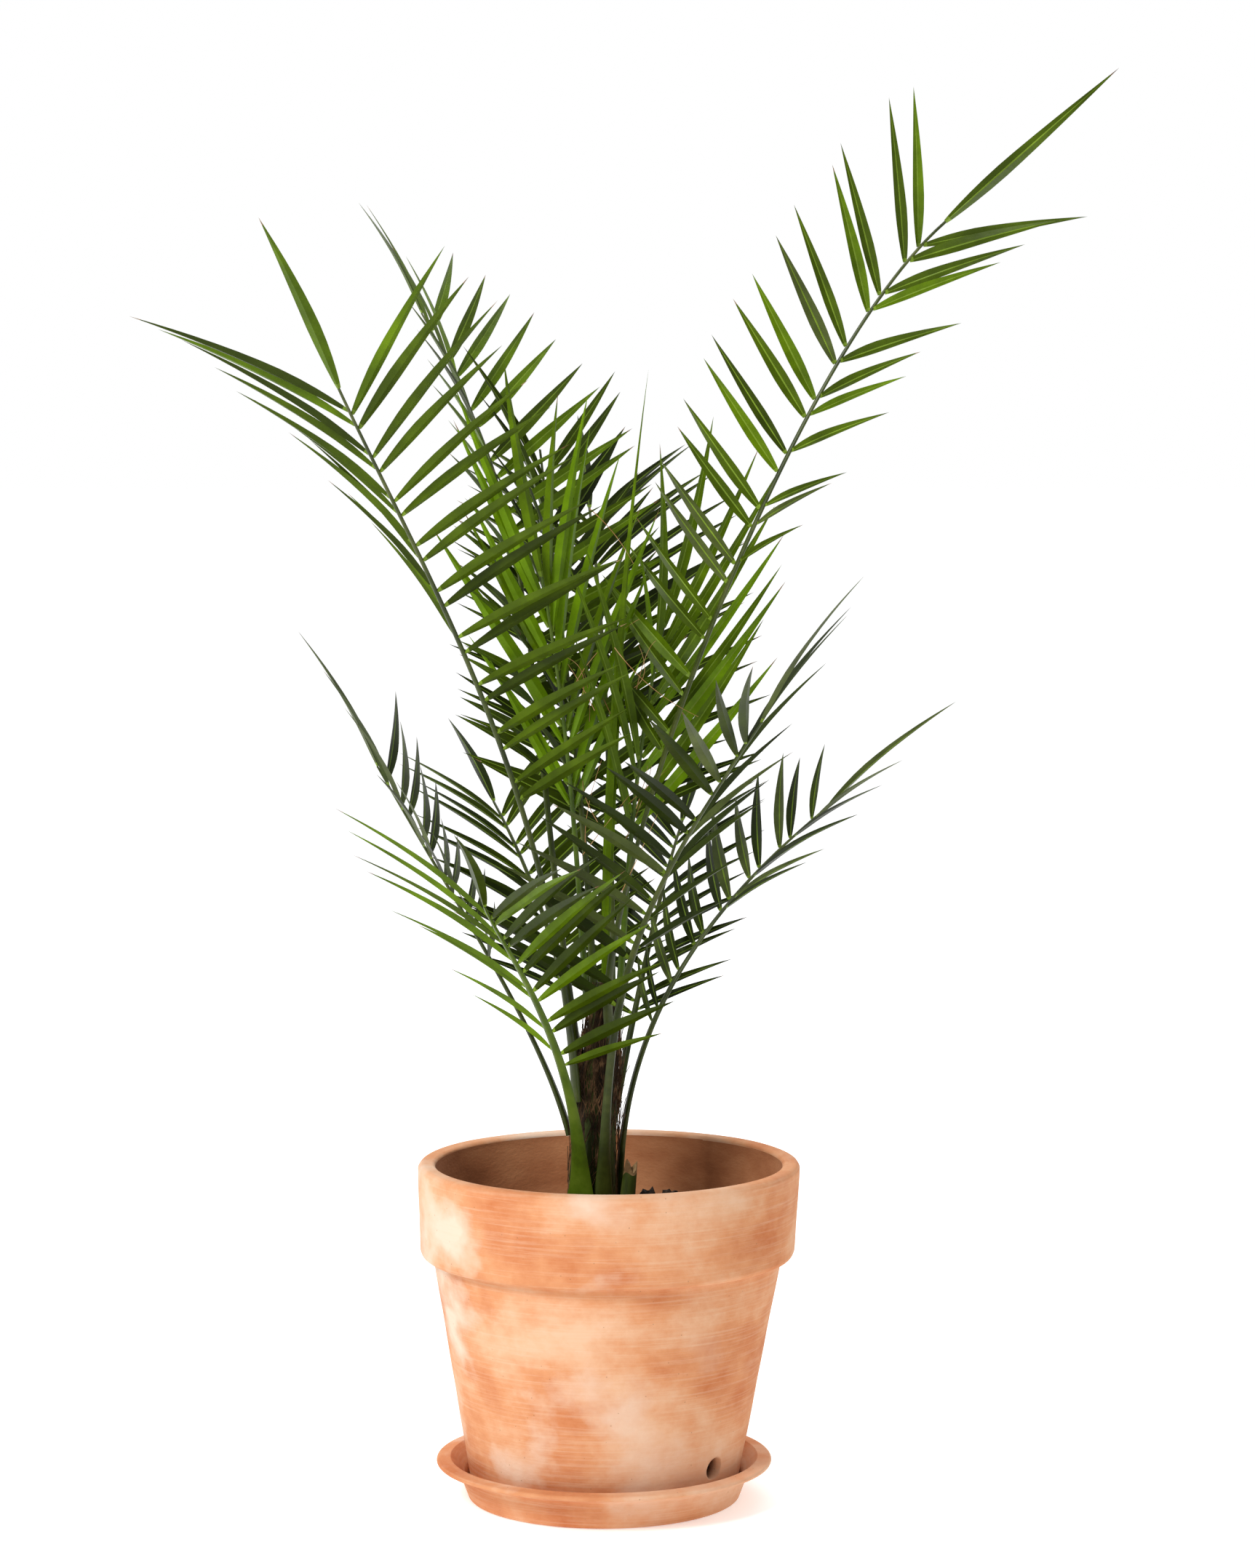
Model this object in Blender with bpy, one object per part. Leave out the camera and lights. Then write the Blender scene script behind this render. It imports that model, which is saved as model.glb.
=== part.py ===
"""A young canary island date palm in a terracotta pot that stands in a terracotta saucer.

Metres, +Z up. The origin is at the centre of the saucer's flat underside. The plant is seen from the front by
looking along +Y, with +X to the right. Every frond is one closed solid: a tapering stalk whose sides run out
into its leaflets.
"""

import math
import random

import bmesh
import bpy
from mathutils import Vector
from mathutils.bvhtree import BVHTree

# Space kept between neighbouring pieces
GAP = 0.0003

# Saucer
SAUCER_HEIGHT = 0.0377
SAUCER_FOOT_RADIUS = 0.1256
SAUCER_LIP_RADIUS = 0.1544
SAUCER_LIP_INNER_RADIUS = 0.1397
SAUCER_STEP_RADIUS = 0.1355
SAUCER_STEP_HEIGHT = 0.0275
SAUCER_FLOOR = 0.009
SAUCER_FLOOR_RADIUS = 0.1240
SAUCER_WALL_RADIUS = 0.1270

# Pot, whose rim lies a little to the right of its foot
POT_BOTTOM = SAUCER_FLOOR + GAP
POT_TOP = 0.312
POT_LEAN = 0.015
RIM_SHIFT = POT_LEAN * POT_TOP
POT_FOOT_RADIUS = 0.1172
POT_BODY_TOP_RADIUS = 0.1605
POT_TAPER = 0.179
POT_BAND_BOTTOM = 0.2255
POT_BAND_RADIUS = 0.1750
POT_BAND_LOW_RADIUS = 0.1718
POT_LIP_INNER_RADIUS = 0.1590
POT_WALL = 0.0125
POT_FLOOR_THICKNESS = 0.014
TURNED_SIDES = 48

# Drain hole low in the pot's side, to the right of the front
HOLE_DIAMETER = 0.0205
HOLE_HEIGHT = 0.0445
HOLE_FACING = -39.0
HOLE_SIDES = 16

# Soil, higher round the stem than at the wall, with clods behind the stem: right, back, radius, height. What
# grows in the pot is placed from the axis through the middle of the rim.
SOIL_EDGE_HEIGHT = 0.243
SOIL_CROWN_HEIGHT = 0.257
SOIL_CROWN_RADIUS = 0.070
SOIL_ROUGHNESS = 0.003
SOIL_SIDES = 36
CLODS = ((0.036, 0.030, 0.009, 0.020), (0.056, 0.041, 0.012, 0.017))

# Stem: its foot lies left of the rim's middle and it leans back to the right
STEM_FOOT = SOIL_CROWN_HEIGHT + GAP
STEM_FOOT_SHIFT = -0.018
STEM_LEAN = 0.067
STEM_SIDES = 14
STEM_LOBES = 5
STEM_RINGS = ((0.0, 0.0245), (0.03, 0.0225), (0.075, 0.0200), (0.14, 0.0175), (0.19, 0.0130), (0.22, 0.0070))

# Stub of a cut frond, to the right of the stem's front
STUB_FOOT = (0.0145, -0.0230)
STUB_HEIGHT = 0.054
STUB_RADIUS = 0.0085
STUB_LEAN = 0.10

# Stalks: how fast a wide foot narrows, and their size at the tip
STALK_FOOT_LENGTH = 0.11
STALK_FOOT_SHARE = 0.58
STALK_TIP_WIDTH = 0.0026
STALK_TIP_THICKNESS = 0.0020
STALK_OFFSET = 0.0045
STALK_RINGS = 6

# Leaflets: a folded blade, widest at its belly, on a narrow foot
LEAFLET_FOOT = 0.0042
LEAFLET_WIDTH = 0.0150
LEAFLET_THICKNESS = 0.0019
LEAFLET_FOLD = 0.0022
LEAFLET_BELLY = 0.42
LEAFLET_BOW = 0.03
LEAFLET_CLEAR = 0.0006
LEAFLET_PAIRING = 0.17
# Lengths next to a leaflet's foot that aren't tested against other fronds and its own frond
LEAFLET_OWN_SPACE = (0.001, 0.008)

# Fronds. facing is the side of the stem where the stalk leaves, in degrees from +X towards +Y, and height is
# where. route holds the three points after that foot that pull the stalk's curve, the last of them its tip.
# foot is the stalk's width and thickness there. bare is the share of its length without leaflets, count the
# leaflets on each side, turn the frond's roll at foot and tip. near and far give one side's leaflets at the
# lowest, halfway and the highest: their angle to the stalk and their length; then how far they lift out of the
# frond's plane at the lowest and the highest, and where they start and what share of them is there. tip is the
# length of the end leaflet.
FRONDS = (
    dict(name="frond_left_tall", facing=215, height=0.370, foot=(0.0125, 0.0075),
         route=((-0.048, -0.039, 0.656), (-0.157, -0.144, 0.851), (-0.224, -0.307, 1.021)),
         bare=0.37, count=18, turn=(-44, 22), tip=0.200,
         near=((63, 70, 42), (0.150, 0.180, 0.185), (25, 11), 0.0, 1.0),
         far=((30, 40, 58), (0.110, 0.130, 0.205), (24, 14), 0.40, 1.0)),
    dict(name="frond_right_tall", facing=-60, height=0.430, foot=(0.0115, 0.0070),
         route=((-0.031, -0.019, 0.514), (0.153, -0.022, 1.038), (0.301, -0.028, 1.167)),
         bare=0.31, count=20, turn=(3, 87), tip=0.205,
         near=((64, 60, 42), (0.150, 0.122, 0.159), (18, 24), 0.0, 1.0),
         far=((66, 50, 38), (0.080, 0.100, 0.155), (16, 19), 0.34, 0.8)),
    dict(name="frond_right_front", facing=-65, height=0.262, foot=(0.0140, 0.0070),
         route=((-0.002, -0.026, 0.473), (0.011, -0.064, 0.537), (0.133, -0.205, 0.733)),
         bare=0.34, count=14, turn=(-78, 29), tip=0.182,
         near=((60, 32, 16), (0.080, 0.110, 0.170), (3, 5), 0.22, 0.8),
         far=((72, 62, 32), (0.165, 0.150, 0.185), (6, 9), 0.0, 1.0)),
    dict(name="frond_left_front", facing=252, height=0.262, foot=(0.0190, 0.0075),
         route=((-0.016, -0.035, 0.416), (-0.097, -0.089, 0.523), (-0.108, -0.177, 0.569)),
         bare=0.38, count=12, turn=(0, -7), tip=0.174,
         near=((80, 55, 36), (0.100, 0.180, 0.165), (15, 8), 0.0, 1.0),
         far=((62, 66, 58), (0.075, 0.150, 0.155), (11, 11), 0.0, 0.7)),
    dict(name="frond_left_low", facing=162, height=0.335, foot=(0.0115, 0.0065),
         route=((-0.060, 0.015, 0.425), (-0.125, 0.030, 0.520), (-0.214, 0.062, 0.670)),
         bare=0.30, count=13, turn=(16, 6), tip=0.147,
         near=((70, 60, 40), (0.070, 0.105, 0.150), (13, 13), 0.2, 0.8),
         far=((64, 58, 50), (0.100, 0.100, 0.150), (12, 12), 0.2, 1.0)),
    dict(name="frond_right_low", facing=20, height=0.262, foot=(0.0130, 0.0070),
         route=((0.007, 0.009, 0.398), (0.051, 0.033, 0.511), (0.204, 0.076, 0.632)),
         bare=0.38, count=13, turn=(11, 5), tip=0.157,
         near=((50, 60, 44), (0.080, 0.135, 0.095), (3, 12), 0.0, 1.0),
         far=((60, 56, 40), (0.080, 0.120, 0.105), (1, 13), 0.45, 0.8)),
    dict(name="frond_left_second", facing=150, height=0.400, foot=(0.0110, 0.0070),
         route=((-0.085, 0.022, 0.803), (-0.054, 0.052, 0.879), (-0.175, 0.146, 1.087)),
         bare=0.36, count=17, turn=(-29, 22), tip=0.130,
         near=((69, 70, 40), (0.150, 0.150, 0.138), (24, 23), 0.0, 1.0),
         far=((69, 64, 42), (0.160, 0.175, 0.125), (26, 22), 0.0, 1.0)),
    dict(name="frond_young_left", facing=196, height=0.455, foot=(0.0085, 0.0060),
         route=((-0.030, -0.006, 0.600), (-0.034, -0.014, 0.700), (-0.060, -0.030, 0.850)),
         bare=0.42, count=8, turn=(60, 80), tip=0.200,
         near=((32, 24, 14), (0.200, 0.230, 0.200), (12, 12), 0.0, 1.0),
         far=((30, 22, 14), (0.200, 0.230, 0.200), (12, 12), 0.0, 1.0)),
    dict(name="frond_young_right", facing=30, height=0.455, foot=(0.0085, 0.0060),
         route=((0.018, 0.010, 0.600), (0.026, 0.020, 0.700), (0.050, 0.035, 0.800)),
         bare=0.42, count=8, turn=(70, 90), tip=0.200,
         near=((32, 24, 14), (0.200, 0.230, 0.200), (12, 12), 0.0, 1.0),
         far=((36, 26, 16), (0.200, 0.230, 0.200), (12, 12), 0.0, 1.0)),
    dict(name="frond_back_tall", facing=105, height=0.420, foot=(0.0105, 0.0070),
         route=((-0.018, 0.045, 0.620), (-0.045, 0.085, 0.800), (-0.065, 0.150, 0.960)),
         bare=0.36, count=14, turn=(10, 30), tip=0.145,
         near=((62, 50, 36), (0.140, 0.155, 0.145), (16, 16), 0.0, 1.0),
         far=((62, 50, 36), (0.140, 0.155, 0.145), (16, 16), 0.0, 1.0)),
    dict(name="frond_back_wide", facing=62, height=0.405, foot=(0.0105, 0.0070),
         route=((0.005, 0.060, 0.640), (-0.005, 0.150, 0.800), (-0.020, 0.300, 0.900)),
         bare=0.34, count=16, turn=(0, 0), tip=0.160,
         near=((72, 62, 46), (0.150, 0.170, 0.150), (14, 14), 0.0, 1.0),
         far=((72, 62, 46), (0.150, 0.160, 0.140), (14, 14), 0.0, 1.0)),
    dict(name="frond_back_left_low", facing=118, height=0.345, foot=(0.0110, 0.0065),
         route=((-0.026, 0.070, 0.430), (-0.060, 0.130, 0.540), (-0.112, 0.235, 0.620)),
         bare=0.33, count=12, turn=(0, 0), tip=0.130,
         near=((72, 60, 45), (0.105, 0.125, 0.115), (14, 14), 0.0, 1.0),
         far=((72, 60, 45), (0.115, 0.135, 0.120), (14, 14), 0.0, 1.0)),
    dict(name="frond_back_right_low", facing=62, height=0.320, foot=(0.0110, 0.0065),
         route=((0.022, 0.070, 0.430), (0.042, 0.140, 0.530), (0.070, 0.245, 0.600)),
         bare=0.33, count=12, turn=(0, 0), tip=0.125,
         near=((72, 60, 45), (0.110, 0.130, 0.115), (14, 14), 0.0, 1.0),
         far=((72, 60, 45), (0.095, 0.110, 0.100), (14, 14), 0.0, 1.0)),
)

# Spear: the newest frond, still folded shut
SPEAR_ROUTE = ((-0.004, 0.000, 0.4790), (0.000, -0.004, 0.66), (0.010, -0.006, 0.84), (0.036, -0.008, 1.036))
SPEAR_WIDTH = 0.0100
SPEAR_THICKNESS = 0.0050
SPEAR_RINGS = 10


def new_material(name, color, roughness):
    material = bpy.data.materials.new(name)
    material.use_nodes = True
    shader = material.node_tree.nodes["Principled BSDF"]
    shader.inputs["Base Color"].default_value = (*color, 1.0)
    shader.inputs["Roughness"].default_value = roughness
    shader.inputs["Metallic"].default_value = 0.0
    return material


def new_object(name, bm, material, smooth_angle=None):
    bmesh.ops.recalc_face_normals(bm, faces=bm.faces[:])
    if bm.calc_volume(signed=True) < 0:
        bmesh.ops.reverse_faces(bm, faces=bm.faces[:])
    mesh = bpy.data.meshes.new(name)
    bm.to_mesh(mesh)
    bm.free()
    mesh.materials.append(material)
    if smooth_angle is not None:
        mesh.shade_smooth()
        mesh.set_sharp_from_angle(angle=math.radians(smooth_angle))
    thing = bpy.data.objects.new(name, mesh)
    bpy.context.scene.collection.objects.link(thing)
    return thing


def bridge(bm, ring, next_ring):
    """Faces between two rings of as many points."""
    for i in range(len(ring)):
        j = (i + 1) % len(ring)
        bm.faces.new((ring[i], ring[j], next_ring[j], next_ring[i]))


def arc(center, radius, start, end, steps):
    """Points of a round corner in a turned profile, angles in degrees."""
    points = []
    for i in range(steps + 1):
        a = math.radians(start + (end - start) * i / steps)
        points.append((center[0] + radius * math.cos(a), center[1] + radius * math.sin(a)))
    return points


def turned(profile, sides, height_of=None):
    """A closed body turned about Z from (radius, height) points that start and end on the axis."""
    bm = bmesh.new()
    rings = []
    for radius, height in profile:
        if radius == 0.0:
            rings.append([bm.verts.new((0.0, 0.0, height))])
            continue
        ring = []
        for i in range(sides):
            a = 2 * math.pi * i / sides
            x, y = radius * math.cos(a), radius * math.sin(a)
            z = height if height_of is None else height_of(x, y, radius, height)
            ring.append(bm.verts.new((x, y, z)))
        rings.append(ring)
    for ring, next_ring in zip(rings, rings[1:]):
        if len(ring) == 1:
            for i in range(sides):
                bm.faces.new((ring[0], next_ring[(i + 1) % sides], next_ring[i]))
        elif len(next_ring) == 1:
            for i in range(sides):
                bm.faces.new((ring[i], ring[(i + 1) % sides], next_ring[0]))
        else:
            bridge(bm, ring, next_ring)
    return bm


def hide_tool(thing):
    thing.hide_render = True
    thing.display_type = "WIRE"
    thing.hide_set(True)


def lean(bm):
    """Moves each level of the pot or its filling to the right, the more the higher it lies."""
    for vert in bm.verts:
        vert.co.x += POT_LEAN * vert.co.z


def pot_radius(z):
    """Outer radius of the pot's body."""
    return POT_BODY_TOP_RADIUS - POT_TAPER * (POT_BAND_BOTTOM - z)


def pot_inner_radius(z):
    """Inner radius of the pot, straight from under the band up to the lip."""
    if z <= POT_BAND_BOTTOM:
        return pot_radius(z) - POT_WALL
    low = pot_radius(POT_BAND_BOTTOM) - POT_WALL
    share = (z - POT_BAND_BOTTOM) / (POT_TOP - POT_BAND_BOTTOM)
    return low + (POT_LIP_INNER_RADIUS - low) * share


def make_saucer(material):
    rim = SAUCER_HEIGHT
    profile = [(0.0, 0.0)]
    profile += arc((SAUCER_FOOT_RADIUS - 0.003, 0.003), 0.003, -90, -15, 3)
    profile += [(SAUCER_STEP_RADIUS - 0.002, SAUCER_STEP_HEIGHT - 0.004),
                (SAUCER_STEP_RADIUS + 0.001, SAUCER_STEP_HEIGHT - 0.001),
                (SAUCER_LIP_RADIUS - 0.003, rim - 0.0055)]
    profile += arc((SAUCER_LIP_RADIUS - 0.0025, rim - 0.0035), 0.0025, -45, 90, 4)
    profile += [(SAUCER_LIP_INNER_RADIUS + 0.002, rim - 0.0002),
                (SAUCER_LIP_INNER_RADIUS, rim - 0.0018),
                (SAUCER_WALL_RADIUS, SAUCER_STEP_HEIGHT - 0.004),
                (SAUCER_FLOOR_RADIUS, SAUCER_FLOOR),
                (0.0, SAUCER_FLOOR)]
    return new_object("saucer", turned(profile, TURNED_SIDES), material, 40)


def make_pot(material):
    lip = 0.006
    foot = 0.0055
    profile = [(0.0, POT_BOTTOM)]
    profile += arc((POT_FOOT_RADIUS, POT_BOTTOM + foot), foot, -90, -10, 3)
    profile += [(pot_radius(POT_BAND_BOTTOM - 0.004), POT_BAND_BOTTOM - 0.004),
                (POT_BODY_TOP_RADIUS + 0.001, POT_BAND_BOTTOM)]
    profile += arc((POT_BAND_LOW_RADIUS - 0.0065, POT_BAND_BOTTOM + 0.0065), 0.0065, -90, 0, 3)
    profile += arc((POT_BAND_RADIUS - lip, POT_TOP - lip), lip, 0, 90, 4)
    profile += arc((POT_LIP_INNER_RADIUS + 0.004, POT_TOP - 0.0045), 0.004, 95, 180, 3)
    floor = POT_BOTTOM + POT_FLOOR_THICKNESS
    profile += [(pot_inner_radius(POT_BAND_BOTTOM), POT_BAND_BOTTOM),
                (pot_inner_radius(floor), floor),
                (0.0, floor)]
    bm = turned(profile, TURNED_SIDES)
    lean(bm)
    pot = new_object("pot", bm, material, 40)

    facing = math.radians(HOLE_FACING)
    outward = Vector((math.cos(facing), math.sin(facing), 0.0))
    bm = bmesh.new()
    bmesh.ops.create_cone(bm, cap_ends=True, segments=HOLE_SIDES, radius1=HOLE_DIAMETER / 2,
                          radius2=HOLE_DIAMETER / 2, depth=0.06)
    drill = new_object("drain_hole_tool", bm, material)
    drill.rotation_mode = "QUATERNION"
    drill.rotation_quaternion = outward.to_track_quat("Z", "Y")
    drill.location = outward * pot_radius(HOLE_HEIGHT) + Vector((POT_LEAN * HOLE_HEIGHT, 0.0, HOLE_HEIGHT))
    hide_tool(drill)
    cut = pot.modifiers.new("drain hole", "BOOLEAN")
    cut.operation = "DIFFERENCE"
    cut.object = drill
    return pot


def make_soil(material):
    dice = random.Random(11)
    bumps = [(dice.uniform(30, 90), dice.uniform(30, 90), dice.uniform(0, 6)) for _ in range(6)]

    def surface(x, y, radius, height):
        """Rough outside the flat patch that carries the stem; the wall side stays as it is."""
        if height < SOIL_EDGE_HEIGHT - 0.001 or radius < SOIL_CROWN_RADIUS + 0.001:
            return height
        wave = sum(math.sin(x * p + y * q + r) for p, q, r in bumps) / len(bumps)
        return height + SOIL_ROUGHNESS * wave

    floor = POT_BOTTOM + POT_FLOOR_THICKNESS + GAP
    clear = 0.0008
    profile = [(0.0, floor),
               (pot_inner_radius(floor) - clear, floor),
               (pot_inner_radius(POT_BAND_BOTTOM) - clear, POT_BAND_BOTTOM),
               (pot_inner_radius(SOIL_EDGE_HEIGHT) - clear, SOIL_EDGE_HEIGHT - 0.002)]
    rings = 4
    for i in range(rings + 1):
        share = i / rings
        radius = (pot_inner_radius(SOIL_EDGE_HEIGHT) - 0.004) * (1 - share) + SOIL_CROWN_RADIUS * share
        rise = (SOIL_CROWN_HEIGHT - SOIL_EDGE_HEIGHT) * math.sin(share * math.pi / 2)
        profile.append((radius, SOIL_EDGE_HEIGHT + rise))
    profile.append((0.0, SOIL_CROWN_HEIGHT))
    bm = turned(profile, SOIL_SIDES, surface)
    lean(bm)
    soil = new_object("soil", bm, material, 50)

    for number, (x, y, radius, height) in enumerate(CLODS, start=1):
        bm = bmesh.new()
        bmesh.ops.create_icosphere(bm, subdivisions=1, radius=1.0)
        for vert in bm.verts:
            swell = dice.uniform(0.8, 1.2)
            vert.co = Vector((vert.co.x * radius * swell, vert.co.y * radius * swell, vert.co.z * height * swell))
        clod = new_object(f"clod_tool_{number}", bm, material)
        clod.location = (RIM_SHIFT + x, y, SOIL_CROWN_HEIGHT + 0.002)
        hide_tool(clod)
        join = soil.modifiers.new(clod.name, "BOOLEAN")
        join.operation = "UNION"
        join.object = clod
    return soil


def stem_middle(z):
    return Vector((RIM_SHIFT + STEM_FOOT_SHIFT + STEM_LEAN * (z - STEM_FOOT), 0.0, z))


def stem_radius(z):
    rise = z - STEM_FOOT
    for (low, low_radius), (high, high_radius) in zip(STEM_RINGS, STEM_RINGS[1:]):
        if rise <= high:
            return low_radius + (high_radius - low_radius) * (rise - low) / (high - low)
    return STEM_RINGS[-1][1]


def make_stem(material):
    bm = bmesh.new()
    rings = []
    for rise, radius in STEM_RINGS:
        middle = stem_middle(STEM_FOOT + rise)
        ring = []
        for i in range(STEM_SIDES):
            a = 2 * math.pi * i / STEM_SIDES
            lobed = radius * (1.0 - 0.06 * (1 - math.cos(STEM_LOBES * a + rise * 30)) / 2)
            ring.append(bm.verts.new(middle + Vector((lobed * math.cos(a), lobed * math.sin(a), 0.0))))
        rings.append(ring)
    for ring, next_ring in zip(rings, rings[1:]):
        bridge(bm, ring, next_ring)
    bm.faces.new(rings[0])
    bm.faces.new(rings[-1])
    return new_object("stem", bm, material, 60)


def make_stub(material):
    sides = 8
    bm = bmesh.new()
    rings = []
    for share, size in ((0.0, 1.0), (0.55, 0.85), (1.0, 0.75)):
        ring = []
        for i in range(sides):
            a = 2 * math.pi * i / sides
            x = RIM_SHIFT + STUB_FOOT[0] + STUB_LEAN * STUB_HEIGHT * share + STUB_RADIUS * size * math.cos(a)
            y = STUB_FOOT[1] + 0.7 * STUB_RADIUS * size * math.sin(a)
            z = STEM_FOOT + STUB_HEIGHT * share * (1.0 if share < 1.0 else 1.0 + 0.12 * math.cos(3 * a))
            ring.append(bm.verts.new((x, y, z)))
        rings.append(ring)
    for ring, next_ring in zip(rings, rings[1:]):
        bridge(bm, ring, next_ring)
    bm.faces.new(rings[0])
    middle = (rings[-1][0].co + rings[-1][sides // 2].co) / 2
    top = bm.verts.new((middle.x, middle.y, STEM_FOOT + STUB_HEIGHT * 0.93))
    for i in range(sides):
        bm.faces.new((rings[-1][i], rings[-1][(i + 1) % sides], top))
    return new_object("cut_stub", bm, material, 50)


class Stalk:
    """The curve of a frond: a Bezier route read by its length, with the frond's own side and upper face."""

    SAMPLES = 160

    def __init__(self, frond):
        self.frond = frond
        facing = math.radians(frond["facing"])
        out = Vector((math.cos(facing), math.sin(facing), 0.0))
        z = frond["height"]
        start = stem_middle(z) + out * (stem_radius(z) + STALK_OFFSET)
        pulls = [start] + [Vector(p) + Vector((RIM_SHIFT, 0.0, 0.0)) for p in frond["route"]]
        self.points = [self.bezier(pulls, i / self.SAMPLES) for i in range(self.SAMPLES + 1)]
        self.reach = [0.0]
        for a, b in zip(self.points, self.points[1:]):
            self.reach.append(self.reach[-1] + (b - a).length)
        self.length = self.reach[-1]
        across = pulls[3] - pulls[0]
        across.z = 0.0
        across.normalize()
        self.level = Vector((-across.y, across.x, 0.0))
        _, _, side, upper = self.plain(0.0)
        self.foot_turn = math.atan2(out.dot(side), -out.dot(upper))

    @staticmethod
    def bezier(p, t):
        s = 1 - t
        return p[0] * s ** 3 + p[1] * (3 * s * s * t) + p[2] * (3 * s * t * t) + p[3] * t ** 3

    def plain(self, reach):
        """Place, direction, side and upper face before the frond's roll."""
        reach = min(max(reach, 0.0), self.length)
        i = 0
        while i < self.SAMPLES - 1 and self.reach[i + 1] < reach:
            i += 1
        share = (reach - self.reach[i]) / (self.reach[i + 1] - self.reach[i])
        place = self.points[i].lerp(self.points[i + 1], share)
        low = self.points[min(i + 1, self.SAMPLES)] - self.points[max(i - 1, 0)]
        high = self.points[min(i + 2, self.SAMPLES)] - self.points[i]
        along = low.lerp(high, share).normalized()
        side = (self.level - along * self.level.dot(along)).normalized()
        return place, along, side, along.cross(side)

    def at(self, reach):
        """Place, direction, side and upper face with the roll, which starts square to the stem."""
        place, along, side, upper = self.plain(reach)
        bare = self.frond["bare"]
        share = reach / self.length
        low, high = (math.radians(v) for v in self.frond["turn"])
        if share >= bare:
            turn = low + (high - low) * share
        else:
            blend = share / bare
            turn = self.foot_turn * (1 - blend) + (low + (high - low) * bare) * blend
        c, s = math.cos(turn), math.sin(turn)
        return place, along, side * c + upper * s, upper * c - side * s

    def ring(self, reach):
        """The four corners round the stalk: upper and lower, on both sides."""
        place, _, side, upper = self.at(reach)
        width, thickness = self.size(reach)
        a = side * (width / 2)
        b = upper * (thickness / 2)
        return [place + a + b, place - a + b, place - a - b, place + a - b]

    def size(self, reach):
        """Width and thickness of the stalk."""
        width, thickness = self.frond["foot"]
        if reach < STALK_FOOT_LENGTH:
            ease = 1 - (1 - STALK_FOOT_SHARE) * reach / STALK_FOOT_LENGTH
            return width * ease, thickness * (1 - 0.25 * reach / STALK_FOOT_LENGTH)
        share = (reach - STALK_FOOT_LENGTH) / (self.length - STALK_FOOT_LENGTH)
        wide = width * STALK_FOOT_SHARE
        thick = thickness * 0.75
        return wide + (STALK_TIP_WIDTH - wide) * share, thick + (STALK_TIP_THICKNESS - thick) * share


def profile(values, u):
    """The smooth curve through three values, low, halfway and high."""
    low, middle, high = values
    return low * (1 - u) * (1 - 2 * u) + 4 * middle * u * (1 - u) + high * u * (2 * u - 1)


def stations(stalk):
    """Where the leaflets leave the stalk, in loose pairs."""
    frond = stalk.frond
    start = frond["bare"] * stalk.length
    span = stalk.length - start - 3 * LEAFLET_FOOT
    pitch = span / frond["count"]
    for i in range(frond["count"]):
        shift = LEAFLET_PAIRING * pitch * (1 if i % 2 == 0 else -1)
        yield start + (i + 0.35) * pitch + shift, (i + 0.35) / frond["count"]


class Leaflet:
    """A folded blade: the corners it starts from, where it points, the way of its width, its upper face."""

    def __init__(self, corners, along, toward, upper, length, width):
        self.corners = corners
        self.root = sum(corners, Vector()) / len(corners)
        self.along = along
        self.rib = (toward - along * toward.dot(along)).normalized()
        face = self.rib.cross(along)
        self.face = face if face.dot(upper) > 0 else -face
        self.length = length
        self.width = width

    def belly(self, extra=0.0):
        """The four points round its widest place: rear edge, top, front edge, bottom."""
        middle = self.root + self.along * (self.length * LEAFLET_BELLY)
        middle += self.face * (self.length * LEAFLET_BOW)
        edge = self.rib * (self.width / 2 + extra)
        lift = self.face * LEAFLET_FOLD
        half = self.face * (LEAFLET_THICKNESS / 2 + extra)
        return [middle - edge + lift, middle + half, middle + edge + lift, middle - half]

    def tip(self):
        return self.root + self.along * self.length

    def test_shape(self, start):
        """The same blade from start on, a little fuller, to see what it would touch."""
        share = start / (self.length * LEAFLET_BELLY)
        foot = [a.lerp(b, share) for a, b in zip(self.corners, self.belly())]
        middle = sum(foot, Vector()) / len(foot)
        foot = [p + (p - middle).normalized() * LEAFLET_CLEAR for p in foot]
        points = foot + self.belly(LEAFLET_CLEAR) + [self.tip() + self.along * LEAFLET_CLEAR]
        faces = [(0, 1, 2), (0, 2, 3)]
        for i in range(4):
            j = (i + 1) % 4
            faces += [(i, j, 4 + i), (j, 4 + j, 4 + i), (4 + i, 4 + j, 8)]
        return points, faces


class Crowd:
    """Everything placed so far, to keep new leaflets clear of it."""

    def __init__(self):
        self.things = []

    def add(self, points, faces, owner):
        low = [min(p[k] for p in points) for k in range(3)]
        high = [max(p[k] for p in points) for k in range(3)]
        self.things.append((low, high, BVHTree.FromPolygons(points, faces), owner))

    def touches(self, points, faces, skip=None):
        low = [min(p[k] for p in points) for k in range(3)]
        high = [max(p[k] for p in points) for k in range(3)]
        tree = None
        for other_low, other_high, other, owner in self.things:
            if skip is not None and owner == skip:
                continue
            if any(low[k] > other_high[k] or high[k] < other_low[k] for k in range(3)):
                continue
            if tree is None:
                tree = BVHTree.FromPolygons(points, faces)
            if tree.overlap(other):
                return True
        return False


def stalk_hull(stalk):
    """The stalk as short four-sided pieces, for the touching test."""
    steps = 60
    points = []
    faces = []
    for i in range(steps + 1):
        points += stalk.ring(stalk.length * i / steps)
        if i:
            for j in range(4):
                k = (j + 1) % 4
                faces.append((4 * i - 4 + j, 4 * i - 4 + k, 4 * i + k, 4 * i + j))
    return points, faces


# When a leaflet would touch something it is swung a little, along the stalk or out of the plane, and then
# shortened, before it is skipped
SHRINKS = (1.0, 0.8, 0.6)
SWINGS = ((0, 0), (0, 5), (0, -5), (4, 0), (-4, 0), (0, 10), (0, -10), (6, 7), (-6, -7), (6, -7), (-6, 7),
          (0, 16), (0, -16), (10, 12), (-10, -12))


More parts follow.
